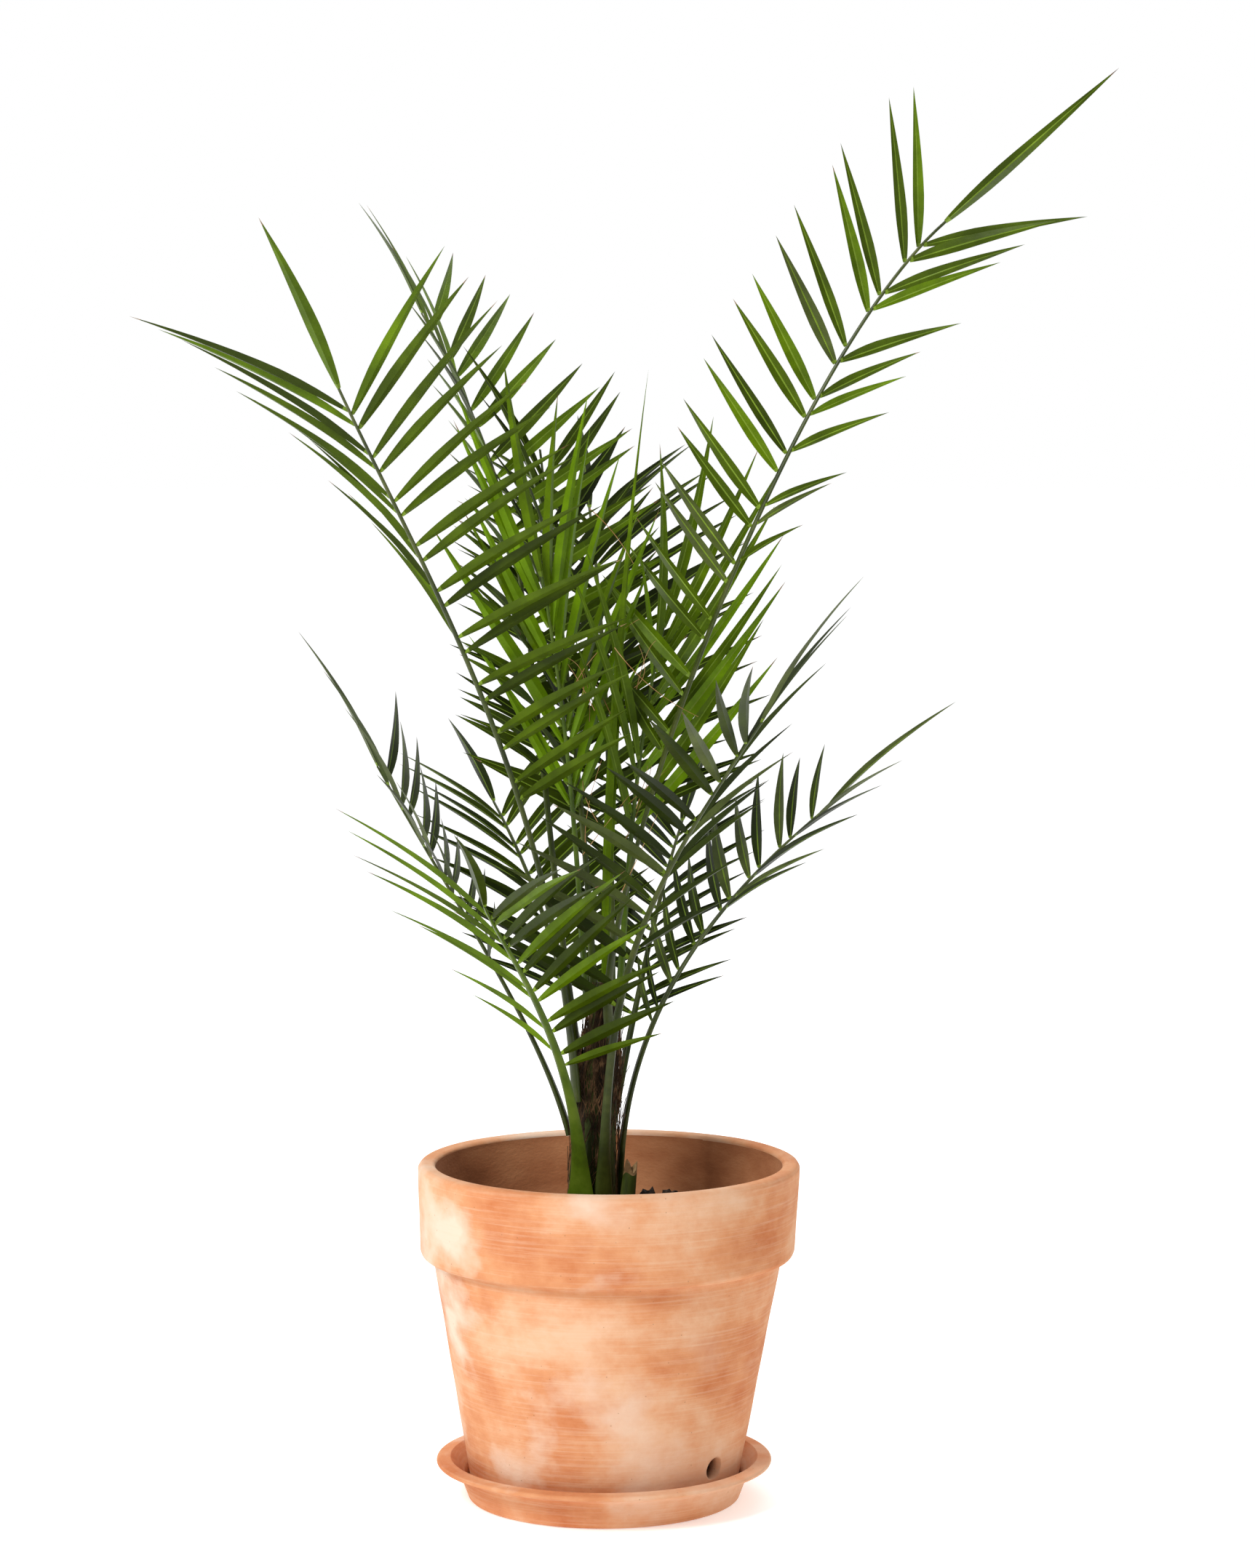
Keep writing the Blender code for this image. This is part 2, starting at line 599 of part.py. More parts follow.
def grow_leaflets(stalk, crowd, dice):
    """One frond's leaflets as (place on the stalk, side, leaflet); the end leaflet has side 0."""
    frond = stalk.frond
    leaflets = []
    own = Crowd()
    own.add(*stalk_hull(stalk), frond["name"])

    def keep_if_clear(reach, which, leaflet):
        full = leaflet.test_shape(LEAFLET_OWN_SPACE[0])
        outer = leaflet.test_shape(LEAFLET_OWN_SPACE[1])
        if crowd.touches(*full, skip=frond["name"]) or own.touches(*outer):
            return False
        leaflets.append((reach, which, leaflet))
        crowd.add(*full, frond["name"])
        own.add(*full, frond["name"])
        return True

    _, along, side, upper = stalk.at(stalk.length)
    end = stalk.ring(stalk.length)
    corners = [end[2], end[1], end[0], end[3]]
    keep_if_clear(stalk.length, 0, Leaflet(corners, along, side, upper, frond["tip"], LEAFLET_WIDTH))
    for number, (reach, u) in reversed(list(enumerate(stations(stalk)))):
        for which, key in ((1, "near"), (-1, "far")):
            angles, lengths, lifts, first, share = frond[key]
            angle = profile(angles, u) + dice.uniform(-3, 3)
            raised = lifts[0] + (lifts[1] - lifts[0]) * u + dice.uniform(-4, 4)
            length = profile(lengths, u) * dice.uniform(0.93, 1.05)
            width = LEAFLET_WIDTH * dice.uniform(0.85, 1.08) * min(1.0, length / 0.13)
            if u < first or int((number + 1) * share) == int(number * share):
                continue
            start = reach if which == 1 else reach + LEAFLET_FOOT
            _, along, side, upper = stalk.at(start + LEAFLET_FOOT / 2)
            low, high = stalk.ring(start), stalk.ring(start + LEAFLET_FOOT)
            below, above = (3, 0) if which == 1 else (2, 1)
            corners = [low[below], low[above], high[above], high[below]]
            for shrink, (swing, tilt) in [(k, s) for k in SHRINKS for s in SWINGS]:
                a = math.radians(max(angle + swing, 6))
                b = math.radians(raised + tilt)
                out = side * (which * math.cos(b)) + upper * math.sin(b)
                direction = along * math.cos(a) + out * math.sin(a)
                leaflet = Leaflet(corners, direction, along, upper, length * shrink, width * shrink)
                if keep_if_clear(start, which, leaflet):
                    break
    return leaflets


def frond_solid(stalk, leaflets, material):
    """One closed body: rings along the stalk, with leaflets drawn out of its side faces."""
    starts = {round(start, 6): (which, leaflet) for start, which, leaflet in leaflets}
    _, end_leaflet = starts.pop(round(stalk.length, 6), (0, None))
    cuts = {round(start + step, 6) for start in starts for step in (0.0, LEAFLET_FOOT)}
    first = min(cuts)
    cuts |= {round(first * i / STALK_RINGS, 6) for i in range(STALK_RINGS)}
    cuts.add(round(stalk.length, 6))
    cuts = sorted(cuts)

    bm = bmesh.new()
    rings = [[bm.verts.new(p) for p in stalk.ring(reach)] for reach in cuts]

    def draw_out(corners, leaflet):
        ring = [bm.verts.new(p) for p in leaflet.belly()]
        tip = bm.verts.new(leaflet.tip())
        for i in range(4):
            j = (i + 1) % 4
            bm.faces.new((corners[i], corners[j], ring[i]))
            bm.faces.new((corners[j], ring[j], ring[i]))
            bm.faces.new((ring[i], ring[j], tip))

    bm.faces.new(rings[0])
    for start, low, high in zip(cuts, rings, rings[1:]):
        drawn, leaflet = starts.get(start, (0, None))
        bm.faces.new((low[0], low[1], high[1], high[0]))
        bm.faces.new((low[2], low[3], high[3], high[2]))
        for which, below, above in ((1, 3, 0), (-1, 2, 1)):
            corners = (low[below], low[above], high[above], high[below])
            if drawn == which:
                draw_out(corners, leaflet)
            else:
                bm.faces.new(corners)
    end = rings[-1]
    if end_leaflet:
        draw_out((end[2], end[1], end[0], end[3]), end_leaflet)
    else:
        bm.faces.new(end)
    bmesh.ops.triangulate(bm, faces=bm.faces[:])
    return new_object(stalk.frond["name"], bm, material)


def make_spear(material):
    pulls = [Vector(p) + Vector((RIM_SHIFT, 0.0, 0.0)) for p in SPEAR_ROUTE]
    bm = bmesh.new()
    rings = []
    for i in range(SPEAR_RINGS):
        t = i / SPEAR_RINGS
        place = Stalk.bezier(pulls, t)
        along = (Stalk.bezier(pulls, t + 0.01) - place).normalized()
        side = Vector((0.0, 1.0, 0.0)).cross(along).normalized()
        upper = along.cross(side)
        swell = 0.55 + 0.45 * math.sin(math.pi * min(1.0, t / 0.62) ** 0.9) if t < 0.62 else (1 - t) / 0.38 * 0.55
        a = side * (SPEAR_WIDTH / 2 * swell)
        b = upper * (SPEAR_THICKNESS / 2 * swell)
        rings.append([bm.verts.new(p) for p in (place + a, place + b, place - a, place - b)])
    for ring, next_ring in zip(rings, rings[1:]):
        bridge(bm, ring, next_ring)
    bm.faces.new(rings[0])
    tip = bm.verts.new(pulls[3])
    for i in range(4):
        bm.faces.new((rings[-1][i], rings[-1][(i + 1) % 4], tip))
    bmesh.ops.triangulate(bm, faces=bm.faces[:])
    return new_object("spear", bm, material)


def mesh_shape(thing):
    points = [vert.co.copy() for vert in thing.data.vertices]
    faces = [tuple(face.vertices) for face in thing.data.polygons]
    return points, faces


def main():
    for thing in list(bpy.data.objects):
        bpy.data.objects.remove(thing, do_unlink=True)
    terracotta = new_material("terracotta", (0.66, 0.30, 0.16), 0.85)
    earth = new_material("soil", (0.035, 0.024, 0.018), 0.95)
    bark = new_material("stem fibre", (0.12, 0.075, 0.03), 0.85)
    leaf = new_material("leaf", (0.045, 0.12, 0.02), 0.45)
    young = new_material("young leaf", (0.10, 0.26, 0.02), 0.45)

    make_saucer(terracotta)
    make_pot(terracotta)
    make_soil(earth)
    stem = make_stem(bark)
    stub = make_stub(leaf)
    spear = make_spear(young)

    crowd = Crowd()
    for thing in (stem, stub, spear):
        crowd.add(*mesh_shape(thing), thing.name)
    stalks = [Stalk(frond) for frond in FRONDS]
    for stalk in stalks:
        crowd.add(*stalk_hull(stalk), stalk.frond["name"])
    for number, stalk in enumerate(stalks, start=1):
        leaflets = grow_leaflets(stalk, crowd, random.Random(number))
        is_young = stalk.frond["name"].startswith("frond_young")
        frond_solid(stalk, leaflets, young if is_young else leaf)


main()
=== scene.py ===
"""The young canary island date palm in its terracotta pot and saucer, dressed for a studio picture.

Metres, +Z up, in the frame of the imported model. The fronds grow by the rule of the part's source, written
again here with the same data and seeds, so that each fine leaflet lies where its solid is.
"""

import math
import random

import bmesh
import bpy
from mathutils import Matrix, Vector, noise
from mathutils.bvhtree import BVHTree


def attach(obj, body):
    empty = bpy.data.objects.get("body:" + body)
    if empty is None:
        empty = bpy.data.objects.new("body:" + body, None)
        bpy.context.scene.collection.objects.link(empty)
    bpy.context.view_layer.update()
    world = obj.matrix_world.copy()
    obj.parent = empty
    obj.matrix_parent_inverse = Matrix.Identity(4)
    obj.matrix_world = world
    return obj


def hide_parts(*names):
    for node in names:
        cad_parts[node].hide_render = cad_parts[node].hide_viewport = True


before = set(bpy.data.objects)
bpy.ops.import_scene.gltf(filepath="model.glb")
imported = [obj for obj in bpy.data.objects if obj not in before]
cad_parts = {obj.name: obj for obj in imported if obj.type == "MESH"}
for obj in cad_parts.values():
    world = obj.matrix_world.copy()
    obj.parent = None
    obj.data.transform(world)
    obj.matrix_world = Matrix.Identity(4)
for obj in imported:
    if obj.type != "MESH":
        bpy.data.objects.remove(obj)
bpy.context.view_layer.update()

# Camera, at the photograph's viewing angle
CAMERA_PLACE = (0.0217, -4.070, 1.054)
CAMERA_TILT = 84.465
CAMERA_LENS = 103.1
SENSOR = 36.0

# Studio: the pale floor, the world's white in front and behind, and the lamps (place, size, watts, aim)
FLOOR_SIZE = 60
FLOOR_DROP = 0.0005
FLOOR_WHITE = 0.90
FLOOR_GLOW = 0.40
WORLD_FRONT = 0.42
WORLD_BACK = 1.0
WORLD_TURN = 0.7
LAMPS = (
    ("key", (-2.2, -2.6, 3.0), 1.2, 135, (0, 0, 0.55)),
    ("back", (0.5, 2.6, 2.8), 2.0, 40, (0, 0, 0.6)),
)

# Space between solids that touch
GAP = 0.0003

# Turned clay: sides, length of a step along the profile, unevenness and grooves of the turning
TURNED_SIDES = 192
TURNED_STEP = 0.004
UNEVEN_OUT = 0.0006
UNEVEN_UP = 0.0004
GROOVE_DEPTH = 0.00012
GROOVE_PITCH = 1500

# Saucer
SAUCER_HEIGHT = 0.0377
SAUCER_FOOT_RADIUS = 0.1256
SAUCER_FOOT_ROUND = 0.003
SAUCER_LIP_RADIUS = 0.1544
SAUCER_LIP_INNER_RADIUS = 0.1397
SAUCER_LIP_ROUND = 0.0025
SAUCER_STEP_RADIUS = 0.1355
SAUCER_STEP_HEIGHT = 0.0275
SAUCER_EASE = 0.002
SAUCER_FLOOR = 0.009
SAUCER_FLOOR_RADIUS = 0.1240
SAUCER_WALL_RADIUS = 0.1270

# Pot
POT_BOTTOM = SAUCER_FLOOR + GAP
POT_TOP = 0.312
POT_LEAN = 0.015
RIM_SHIFT = POT_LEAN * POT_TOP
POT_FOOT_RADIUS = 0.1172
POT_FOOT_ROUND = 0.0055
POT_FLOOR = POT_BOTTOM + 0.014
POT_BODY_TOP_RADIUS = 0.1605
POT_TAPER = 0.179
POT_BAND_BOTTOM = 0.2255
POT_BAND_RADIUS = 0.1750
POT_BAND_LOW_RADIUS = 0.1718
POT_BAND_ROUND = 0.0065
POT_LIP_ROUND = 0.006
POT_LIP_INNER_RADIUS = 0.1590
POT_LIP_INNER_ROUND = 0.004
POT_WALL = 0.0125
HOLE_DIAMETER = 0.0205
HOLE_HEIGHT = 0.0445
HOLE_FACING = -39.0
HOLE_DEPTH = 0.06
HOLE_SIDES = 48

# Soil: its roughness (scale, height), the clods behind the stem (right, back, radius, height), the crumbs
SOIL_BOTTOM = POT_FLOOR + GAP
SOIL_CLEAR = 0.0008
SOIL_EDGE_HEIGHT = 0.243
SOIL_CROWN_HEIGHT = 0.257
SOIL_SLOPE = 1.8
SOIL_SIDES = 128
SOIL_RINGS = 34
SOIL_ROUGHNESS = ((60, 0.0030), (170, 0.0022), (420, 0.0012))
CLODS = ((0.036, 0.030, 0.009, 0.020), (0.056, 0.041, 0.012, 0.017))
CLOD_RISE = 0.002
CRUMB_COUNT = 150
CRUMB_REACH = (0.03, 0.138)
CRUMB_RADIUS = (0.0015, 0.005)
CRUMB_HEIGHT = (0.001, 0.004)

# Stem: its lobes are the clasping leaf bases, green where they stand out and fibre between them
STEM_FOOT = SOIL_CROWN_HEIGHT + GAP
STEM_FOOT_SHIFT = -0.018
STEM_LEAN = 0.067
STEM_LOBES = 5
STEM_TWIST = 30
STEM_GROOVE = 0.10
STEM_SIDES = 140
STEM_STEPS = 110
STEM_GREEN = 0.85
STEM_GREEN_FADE = 2.6
STEM_RINGS = ((0.0, 0.0245), (0.03, 0.0225), (0.075, 0.0200), (0.14, 0.0175), (0.19, 0.0130), (0.22, 0.0070))

# Fibres that wrap the stem: sizes from least to greatest, and the most usual rise third
FIBRE_COUNT = 420
FIBRE_STEPS = 6
FIBRE_RISE = (0.0, 0.20, 0.13)
FIBRE_LEAN = (-0.9, 0.9)
FIBRE_LENGTH = (0.02, 0.06)
FIBRE_LIFT = (0.0006, 0.0028)
FIBRE_WIDTH = (0.0003, 0.0009)
FIBRE_LOOSE = 0.010
FIBRE_THICKNESS = 0.0003

# Stub of a cut frond, at the stem's front right
STUB_FOOT = (0.0145, -0.0230)
STUB_HEIGHT = 0.054
STUB_RADIUS = 0.0085
STUB_FLATNESS = 0.7
STUB_NARROWING = 0.27
STUB_LEAN = 0.10
STUB_SIDES = 36
STUB_STEPS = 24
STUB_DRY_FROM = 0.86
STUB_HOLLOW = 0.002
STUB_RAGGED = 0.0035

# Stalks, and the wide sheath at the foot of those that start low
STALK_FOOT_LENGTH = 0.11
STALK_FOOT_SHARE = 0.58
STALK_TIP_WIDTH = 0.0026
STALK_TIP_THICKNESS = 0.0020
STALK_OFFSET = 0.0045
STALK_STEPS = 72
STALK_SIDES = 10
STALK_GROOVE = 0.75
STALK_THINNING = 0.25
HULL_STEPS = 60
SHEATH_BELOW = 0.30
SHEATH_LENGTH = 0.085
SHEATH_FLARE = 0.9

# Leaflets of the source's rule
LEAFLET_FOOT = 0.0042
LEAFLET_WIDTH = 0.0150
LEAFLET_THICKNESS = 0.0019
LEAFLET_FOLD = 0.0022
LEAFLET_BELLY = 0.42
LEAFLET_BOW = 0.03
LEAFLET_CLEAR = 0.0006
LEAFLET_PAIRING = 0.17
LEAFLET_OWN_SPACE = (0.001, 0.008)
SHRINKS = (1.0, 0.8, 0.6)
SWINGS = ((0, 0), (0, 5), (0, -5), (4, 0), (-4, 0), (0, 10), (0, -10), (6, 7), (-6, -7), (6, -7), (-6, 7),
          (0, 16), (0, -16), (10, 12), (-10, -12))

# Their finer form: stations along a blade, points across its top and underside, its width against the
# solid's, its fold, how its tip hangs, sways and twists, and the share of blades with dry tips
BLADE_STATIONS = (0.0, 0.025, 0.055, 0.10, 0.16, 0.24, 0.33, 0.42, 0.52, 0.62, 0.72, 0.81, 0.89, 0.95)
# The rib strip's width; its pale colour is the midrib's own, with a painted highlight along the fold
RIB_WIDTH = 0.11
BLADE_TOP = (-1.0, -0.55, -RIB_WIDTH, 0.0, RIB_WIDTH, 0.55, 1.0)
BLADE_UNDERSIDE = (0.55, 0.0, -0.55)
BLADE_RIB_HIGHLIGHT_SIDES = (2, 3)
BLADE_FOOT_SHARE = 0.30
BLADE_WIDEST = 0.33
BLADE_SHARE = 0.80
BLADE_THICKNESS = 0.0005
BLADE_KEEL = 0.0009
BLADE_FOLD = 0.42
BLADE_FOLDS = (0.7, 1.25)
BLADE_HANG = 0.0072
BLADE_SWAY = 0.006
BLADE_HANGS = (0.3, 1.0)
BLADE_SWAYS = (-0.5, 0.5)
BLADE_TWISTS = (-0.22, 0.22)
BLADE_DRY_SHARE = 0.35
BLADE_DRY_LENGTH = (0.01, 0.05)
FINE_SEED = 100

# Fronds, as in the part's source
FRONDS = (
    dict(name="frond_left_tall", facing=215, height=0.370, foot=(0.0125, 0.0075),
         route=((-0.048, -0.039, 0.656), (-0.157, -0.144, 0.851), (-0.224, -0.307, 1.021)),
         bare=0.37, count=18, turn=(-44, 22), tip=0.200,
         near=((63, 70, 42), (0.150, 0.180, 0.185), (25, 11), 0.0, 1.0),
         far=((30, 40, 58), (0.110, 0.130, 0.205), (24, 14), 0.40, 1.0)),
    dict(name="frond_right_tall", facing=-60, height=0.430, foot=(0.0115, 0.0070),
         route=((-0.031, -0.019, 0.514), (0.153, -0.022, 1.038), (0.301, -0.028, 1.167)),
         bare=0.31, count=20, turn=(3, 87), tip=0.205,
         near=((64, 60, 42), (0.150, 0.122, 0.159), (18, 24), 0.0, 1.0),
         far=((66, 50, 38), (0.080, 0.100, 0.155), (16, 19), 0.34, 0.8)),
    dict(name="frond_right_front", facing=-65, height=0.262, foot=(0.0140, 0.0070),
         route=((-0.002, -0.026, 0.473), (0.011, -0.064, 0.537), (0.133, -0.205, 0.733)),
         bare=0.34, count=14, turn=(-78, 29), tip=0.182,
         near=((60, 32, 16), (0.080, 0.110, 0.170), (3, 5), 0.22, 0.8),
         far=((72, 62, 32), (0.165, 0.150, 0.185), (6, 9), 0.0, 1.0)),
    dict(name="frond_left_front", facing=252, height=0.262, foot=(0.0190, 0.0075),
         route=((-0.016, -0.035, 0.416), (-0.097, -0.089, 0.523), (-0.108, -0.177, 0.569)),
         bare=0.38, count=12, turn=(0, -7), tip=0.174,
         near=((80, 55, 36), (0.100, 0.180, 0.165), (15, 8), 0.0, 1.0),
         far=((62, 66, 58), (0.075, 0.150, 0.155), (11, 11), 0.0, 0.7)),
    dict(name="frond_left_low", facing=162, height=0.335, foot=(0.0115, 0.0065),
         route=((-0.060, 0.015, 0.425), (-0.125, 0.030, 0.520), (-0.214, 0.062, 0.670)),
         bare=0.30, count=13, turn=(16, 6), tip=0.147,
         near=((70, 60, 40), (0.070, 0.105, 0.150), (13, 13), 0.2, 0.8),
         far=((64, 58, 50), (0.100, 0.100, 0.150), (12, 12), 0.2, 1.0)),
    dict(name="frond_right_low", facing=20, height=0.262, foot=(0.0130, 0.0070),
         route=((0.007, 0.009, 0.398), (0.051, 0.033, 0.511), (0.204, 0.076, 0.632)),
         bare=0.38, count=13, turn=(11, 5), tip=0.157,
         near=((50, 60, 44), (0.080, 0.135, 0.095), (3, 12), 0.0, 1.0),
         far=((60, 56, 40), (0.080, 0.120, 0.105), (1, 13), 0.45, 0.8)),
    dict(name="frond_left_second", facing=150, height=0.400, foot=(0.0110, 0.0070),
         route=((-0.085, 0.022, 0.803), (-0.054, 0.052, 0.879), (-0.175, 0.146, 1.087)),
         bare=0.36, count=17, turn=(-29, 22), tip=0.130,
         near=((69, 70, 40), (0.150, 0.150, 0.138), (24, 23), 0.0, 1.0),
         far=((69, 64, 42), (0.160, 0.175, 0.125), (26, 22), 0.0, 1.0)),
    dict(name="frond_young_left", facing=196, height=0.455, foot=(0.0085, 0.0060),
         route=((-0.030, -0.006, 0.600), (-0.034, -0.014, 0.700), (-0.060, -0.030, 0.850)),
         bare=0.42, count=8, turn=(60, 80), tip=0.200,
         near=((32, 24, 14), (0.200, 0.230, 0.200), (12, 12), 0.0, 1.0),
         far=((30, 22, 14), (0.200, 0.230, 0.200), (12, 12), 0.0, 1.0)),
    dict(name="frond_young_right", facing=30, height=0.455, foot=(0.0085, 0.0060),
         route=((0.018, 0.010, 0.600), (0.026, 0.020, 0.700), (0.050, 0.035, 0.800)),
         bare=0.42, count=8, turn=(70, 90), tip=0.200,
         near=((32, 24, 14), (0.200, 0.230, 0.200), (12, 12), 0.0, 1.0),
         far=((36, 26, 16), (0.200, 0.230, 0.200), (12, 12), 0.0, 1.0)),
    dict(name="frond_back_tall", facing=105, height=0.420, foot=(0.0105, 0.0070),
         route=((-0.018, 0.045, 0.620), (-0.045, 0.085, 0.800), (-0.065, 0.150, 0.960)),
         bare=0.36, count=14, turn=(10, 30), tip=0.145,
         near=((62, 50, 36), (0.140, 0.155, 0.145), (16, 16), 0.0, 1.0),
         far=((62, 50, 36), (0.140, 0.155, 0.145), (16, 16), 0.0, 1.0)),
    dict(name="frond_back_wide", facing=62, height=0.405, foot=(0.0105, 0.0070),
         route=((0.005, 0.060, 0.640), (-0.005, 0.150, 0.800), (-0.020, 0.300, 0.900)),
         bare=0.34, count=16, turn=(0, 0), tip=0.160,
         near=((72, 62, 46), (0.150, 0.170, 0.150), (14, 14), 0.0, 1.0),
         far=((72, 62, 46), (0.150, 0.160, 0.140), (14, 14), 0.0, 1.0)),
    dict(name="frond_back_left_low", facing=118, height=0.345, foot=(0.0110, 0.0065),
         route=((-0.026, 0.070, 0.430), (-0.060, 0.130, 0.540), (-0.112, 0.235, 0.620)),
         bare=0.33, count=12, turn=(0, 0), tip=0.130,
         near=((72, 60, 45), (0.105, 0.125, 0.115), (14, 14), 0.0, 1.0),
         far=((72, 60, 45), (0.115, 0.135, 0.120), (14, 14), 0.0, 1.0)),
    dict(name="frond_back_right_low", facing=62, height=0.320, foot=(0.0110, 0.0065),
         route=((0.022, 0.070, 0.430), (0.042, 0.140, 0.530), (0.070, 0.245, 0.600)),
         bare=0.33, count=12, turn=(0, 0), tip=0.125,
         near=((72, 60, 45), (0.110, 0.130, 0.115), (14, 14), 0.0, 1.0),
         far=((72, 60, 45), (0.095, 0.110, 0.100), (14, 14), 0.0, 1.0)),
)

# Spear: the newest frond, still folded shut; it swells up to a share of its length and then tapers
SPEAR_ROUTE = ((-0.004, 0.000, 0.4790), (0.000, -0.004, 0.66), (0.010, -0.006, 0.84), (0.036, -0.008, 1.036))
SPEAR_WIDTH = 0.0100
SPEAR_THICKNESS = 0.0050
SPEAR_SWELLING = 0.62
SPEAR_FOOT_SHARE = 0.55
SPEAR_PLEAT = 0.72
SPEAR_STEPS = 60
SPEAR_SIDES = 12

# Loose fibres in the crown: two that the photo shows clearly, and some more
THREADS = (
    ((-0.012, -0.060, 0.912), (0.012, -0.066, 0.892), (0.027, -0.060, 0.863)),
    ((0.010, -0.060, 0.788), (0.040, -0.075, 0.748), (0.085, -0.060, 0.726)),
)
THREAD_COUNT = 14
THREAD_RADIUS = 0.00045
THREAD_STEPS = 14
THREAD_SIDES = 3
THREAD_START = ((-0.03, 0.03), (-0.04, 0.03), (0.50, 0.78))
THREAD_WAY = ((-0.05, 0.06), (-0.03, 0.03), (0.02, 0.10))
THREAD_BOW = ((-0.02, 0.02), (-0.02, 0.02), (-0.01, 0.02))

# Finishes: three colours of a soft noise, its scale and stretch, the least and greatest roughness, and the
# relief's scale, strength and depth
FINISHES = {
    "terracotta_bloom": dict(
        colors=((0.52, 0.165, 0.058), (0.64, 0.285, 0.132), (0.72, 0.440, 0.275)), scale=8.5,
        stretch=(1.0, 1.0, 1.3), roughness=(0.82, 0.93), bump=(190, 0.35, 0.0012), detail=12),
    "terracotta_bare": dict(
        colors=((0.30, 0.105, 0.040), (0.42, 0.160, 0.066), (0.52, 0.225, 0.10)), scale=9,
        stretch=(1, 1, 2), roughness=(0.8, 0.95), bump=(230, 0.4, 0.0012), detail=8),
    "potting_soil": dict(
        colors=((0.010, 0.006, 0.004), (0.030, 0.018, 0.011), (0.075, 0.045, 0.028)), scale=160,
        roughness=(0.9, 1.0), bump=(500, 0.6, 0.002)),
    "leaf_base_fibre": dict(
        colors=((0.006, 0.004, 0.001), (0.024, 0.013, 0.005), (0.085, 0.048, 0.022)), scale=55,
        stretch=(3, 3, 0.6), bump=(300, 0.6, 0.002)),
    "leaf_base_green": dict(
        colors=((0.014, 0.020, 0.002), (0.032, 0.048, 0.004), (0.07, 0.075, 0.015)), scale=28,
        stretch=(2, 2, 0.5), roughness=(0.45, 0.65), bump=(260, 0.3, 0.001)),
    "palm_fibre": dict(
        colors=((0.012, 0.006, 0.002), (0.050, 0.024, 0.009), (0.20, 0.11, 0.05)), scale=60,
        bump=(500, 0.3, 0.0005)),
    "crown_thread": dict(
        colors=((0.22, 0.10, 0.03), (0.36, 0.19, 0.07), (0.50, 0.32, 0.15)), scale=60,
        roughness=(0.6, 0.8), bump=(500, 0.2, 0.0005)),
    "dry_brown": dict(
        colors=((0.09, 0.045, 0.018), (0.17, 0.10, 0.04), (0.26, 0.17, 0.08)), scale=80,
        bump=(400, 0.4, 0.001)),
    "stalk_fresh": dict(
        colors=((0.030, 0.055, 0.002), (0.055, 0.10, 0.003), (0.09, 0.14, 0.010)), scale=26,
        roughness=(0.28, 0.40), bump=(200, 0.2, 0.0005), gloss=0.3),
    "stalk_green": dict(
        colors=((0.018, 0.028, 0.002), (0.036, 0.052, 0.004), (0.07, 0.085, 0.015)), scale=26,
        roughness=(0.30, 0.45), bump=(200, 0.2, 0.0005), gloss=0.3),
}
LEAF_FINISH = dict(scale=22, roughness=(0.30, 0.44), bump=(240, 0.25, 0.0006), gloss=0.09)
LEAF_SHADES = (0.72, 1.0, 1.4)
NOISE_ROUGHNESS = 0.62
RAMP_STEPS = (0.34, 0.5, 0.66)
RELIEF_DETAIL = 6

# Lime bloom on the clay: patches that fade to the right, as painted light on the pot's left and painted
# shade on its right, brushed streaks, and small dark pores
LIME = (0.74, 0.56, 0.43)
LIME_SCALE = 11
LIME_EDGE = (0.50, 0.66)
LIME_SIDE_LIGHT_FADE = (0.12, -0.06)
LIME_SHADED_SIDE_LEAST = 0.12
STREAK = (0.72, 0.50, 0.35)
STREAK_STRETCH = (1.0, 1.0, 42.0)
STREAK_EDGE = (0.48, 0.76)
STREAK_MOST = 0.50
PORE = (0.28, 0.13, 0.06)
PORE_SCALE = 95
PORE_EDGE = (0.035, 0.075)
PORE_MOST = 0.55

# Leaf colours (one green at several brightnesses, and a grey) and which of them each frond takes, by their
# places in the list; the lighter greens on the left tall, right tall and left second fronds are a painted
# highlight, while the young fronds and spear are lighter in their own colour
LEAF_GREENS = (
    ("leaf_deep", (0.014, 0.023, 0.001)),
    ("leaf_dark", (0.025, 0.040, 0.001)),
    ("leaf_green", (0.045, 0.074, 0.001)),
    ("leaf_fresh_and_highlit", (0.072, 0.125, 0.001)),
    ("leaf_bright", (0.100, 0.185, 0.001)),
    ("leaf_grey", (0.056, 0.074, 0.016)),
)
# The rib's colour, which the blade's foot also takes: the midrib's own pale green, lightened as a painted
# highlight along the fold
LEAF_RIB_AND_HIGHLIGHT = ("leaf_rib_and_highlight", (0.13, 0.20, 0.018))
SPEAR_GREEN = 3
PALE_RIB_AND_HIGHLIGHT_PLACE = len(LEAF_GREENS)
DRY_PLACE = PALE_RIB_AND_HIGHLIGHT_PLACE + 1
FROND_GREENS_WITH_PAINTED_HIGHLIGHT = {
    "frond_left_tall": (1, 2, 2, 2, 3),
    "frond_right_tall": (1, 2, 2, 3, 5),
    "frond_right_front": (0, 1, 1, 5),
    "frond_left_front": (1, 2, 3, 3),
    "frond_left_low": (0, 1, 5),
    "frond_right_low": (0, 1, 5),
    "frond_left_second": (1, 2, 3, 3),
    "frond_young_left": (3, 4, 4),
    "frond_young_right": (3, 3, 4),
    "frond_back_tall": (0, 1, 2),
    "frond_back_wide": (0, 0, 1),
    "frond_back_left_low": (0, 0, 1),
    "frond_back_right_low": (0, 0, 1),
}


# Materials


def add_node(tree, kind, values=None, sources=None, **settings):
    """A new node with its settings, the values of its inputs, and the sockets that feed it."""
    node = tree.nodes.new(kind)
    for name, value in settings.items():
        setattr(node, name, value)
    for name, value in (values or {}).items():
        node.inputs[name].default_value = value
    for name, socket in (sources or {}).items():
        tree.links.new(socket, node.inputs[name])
    return node


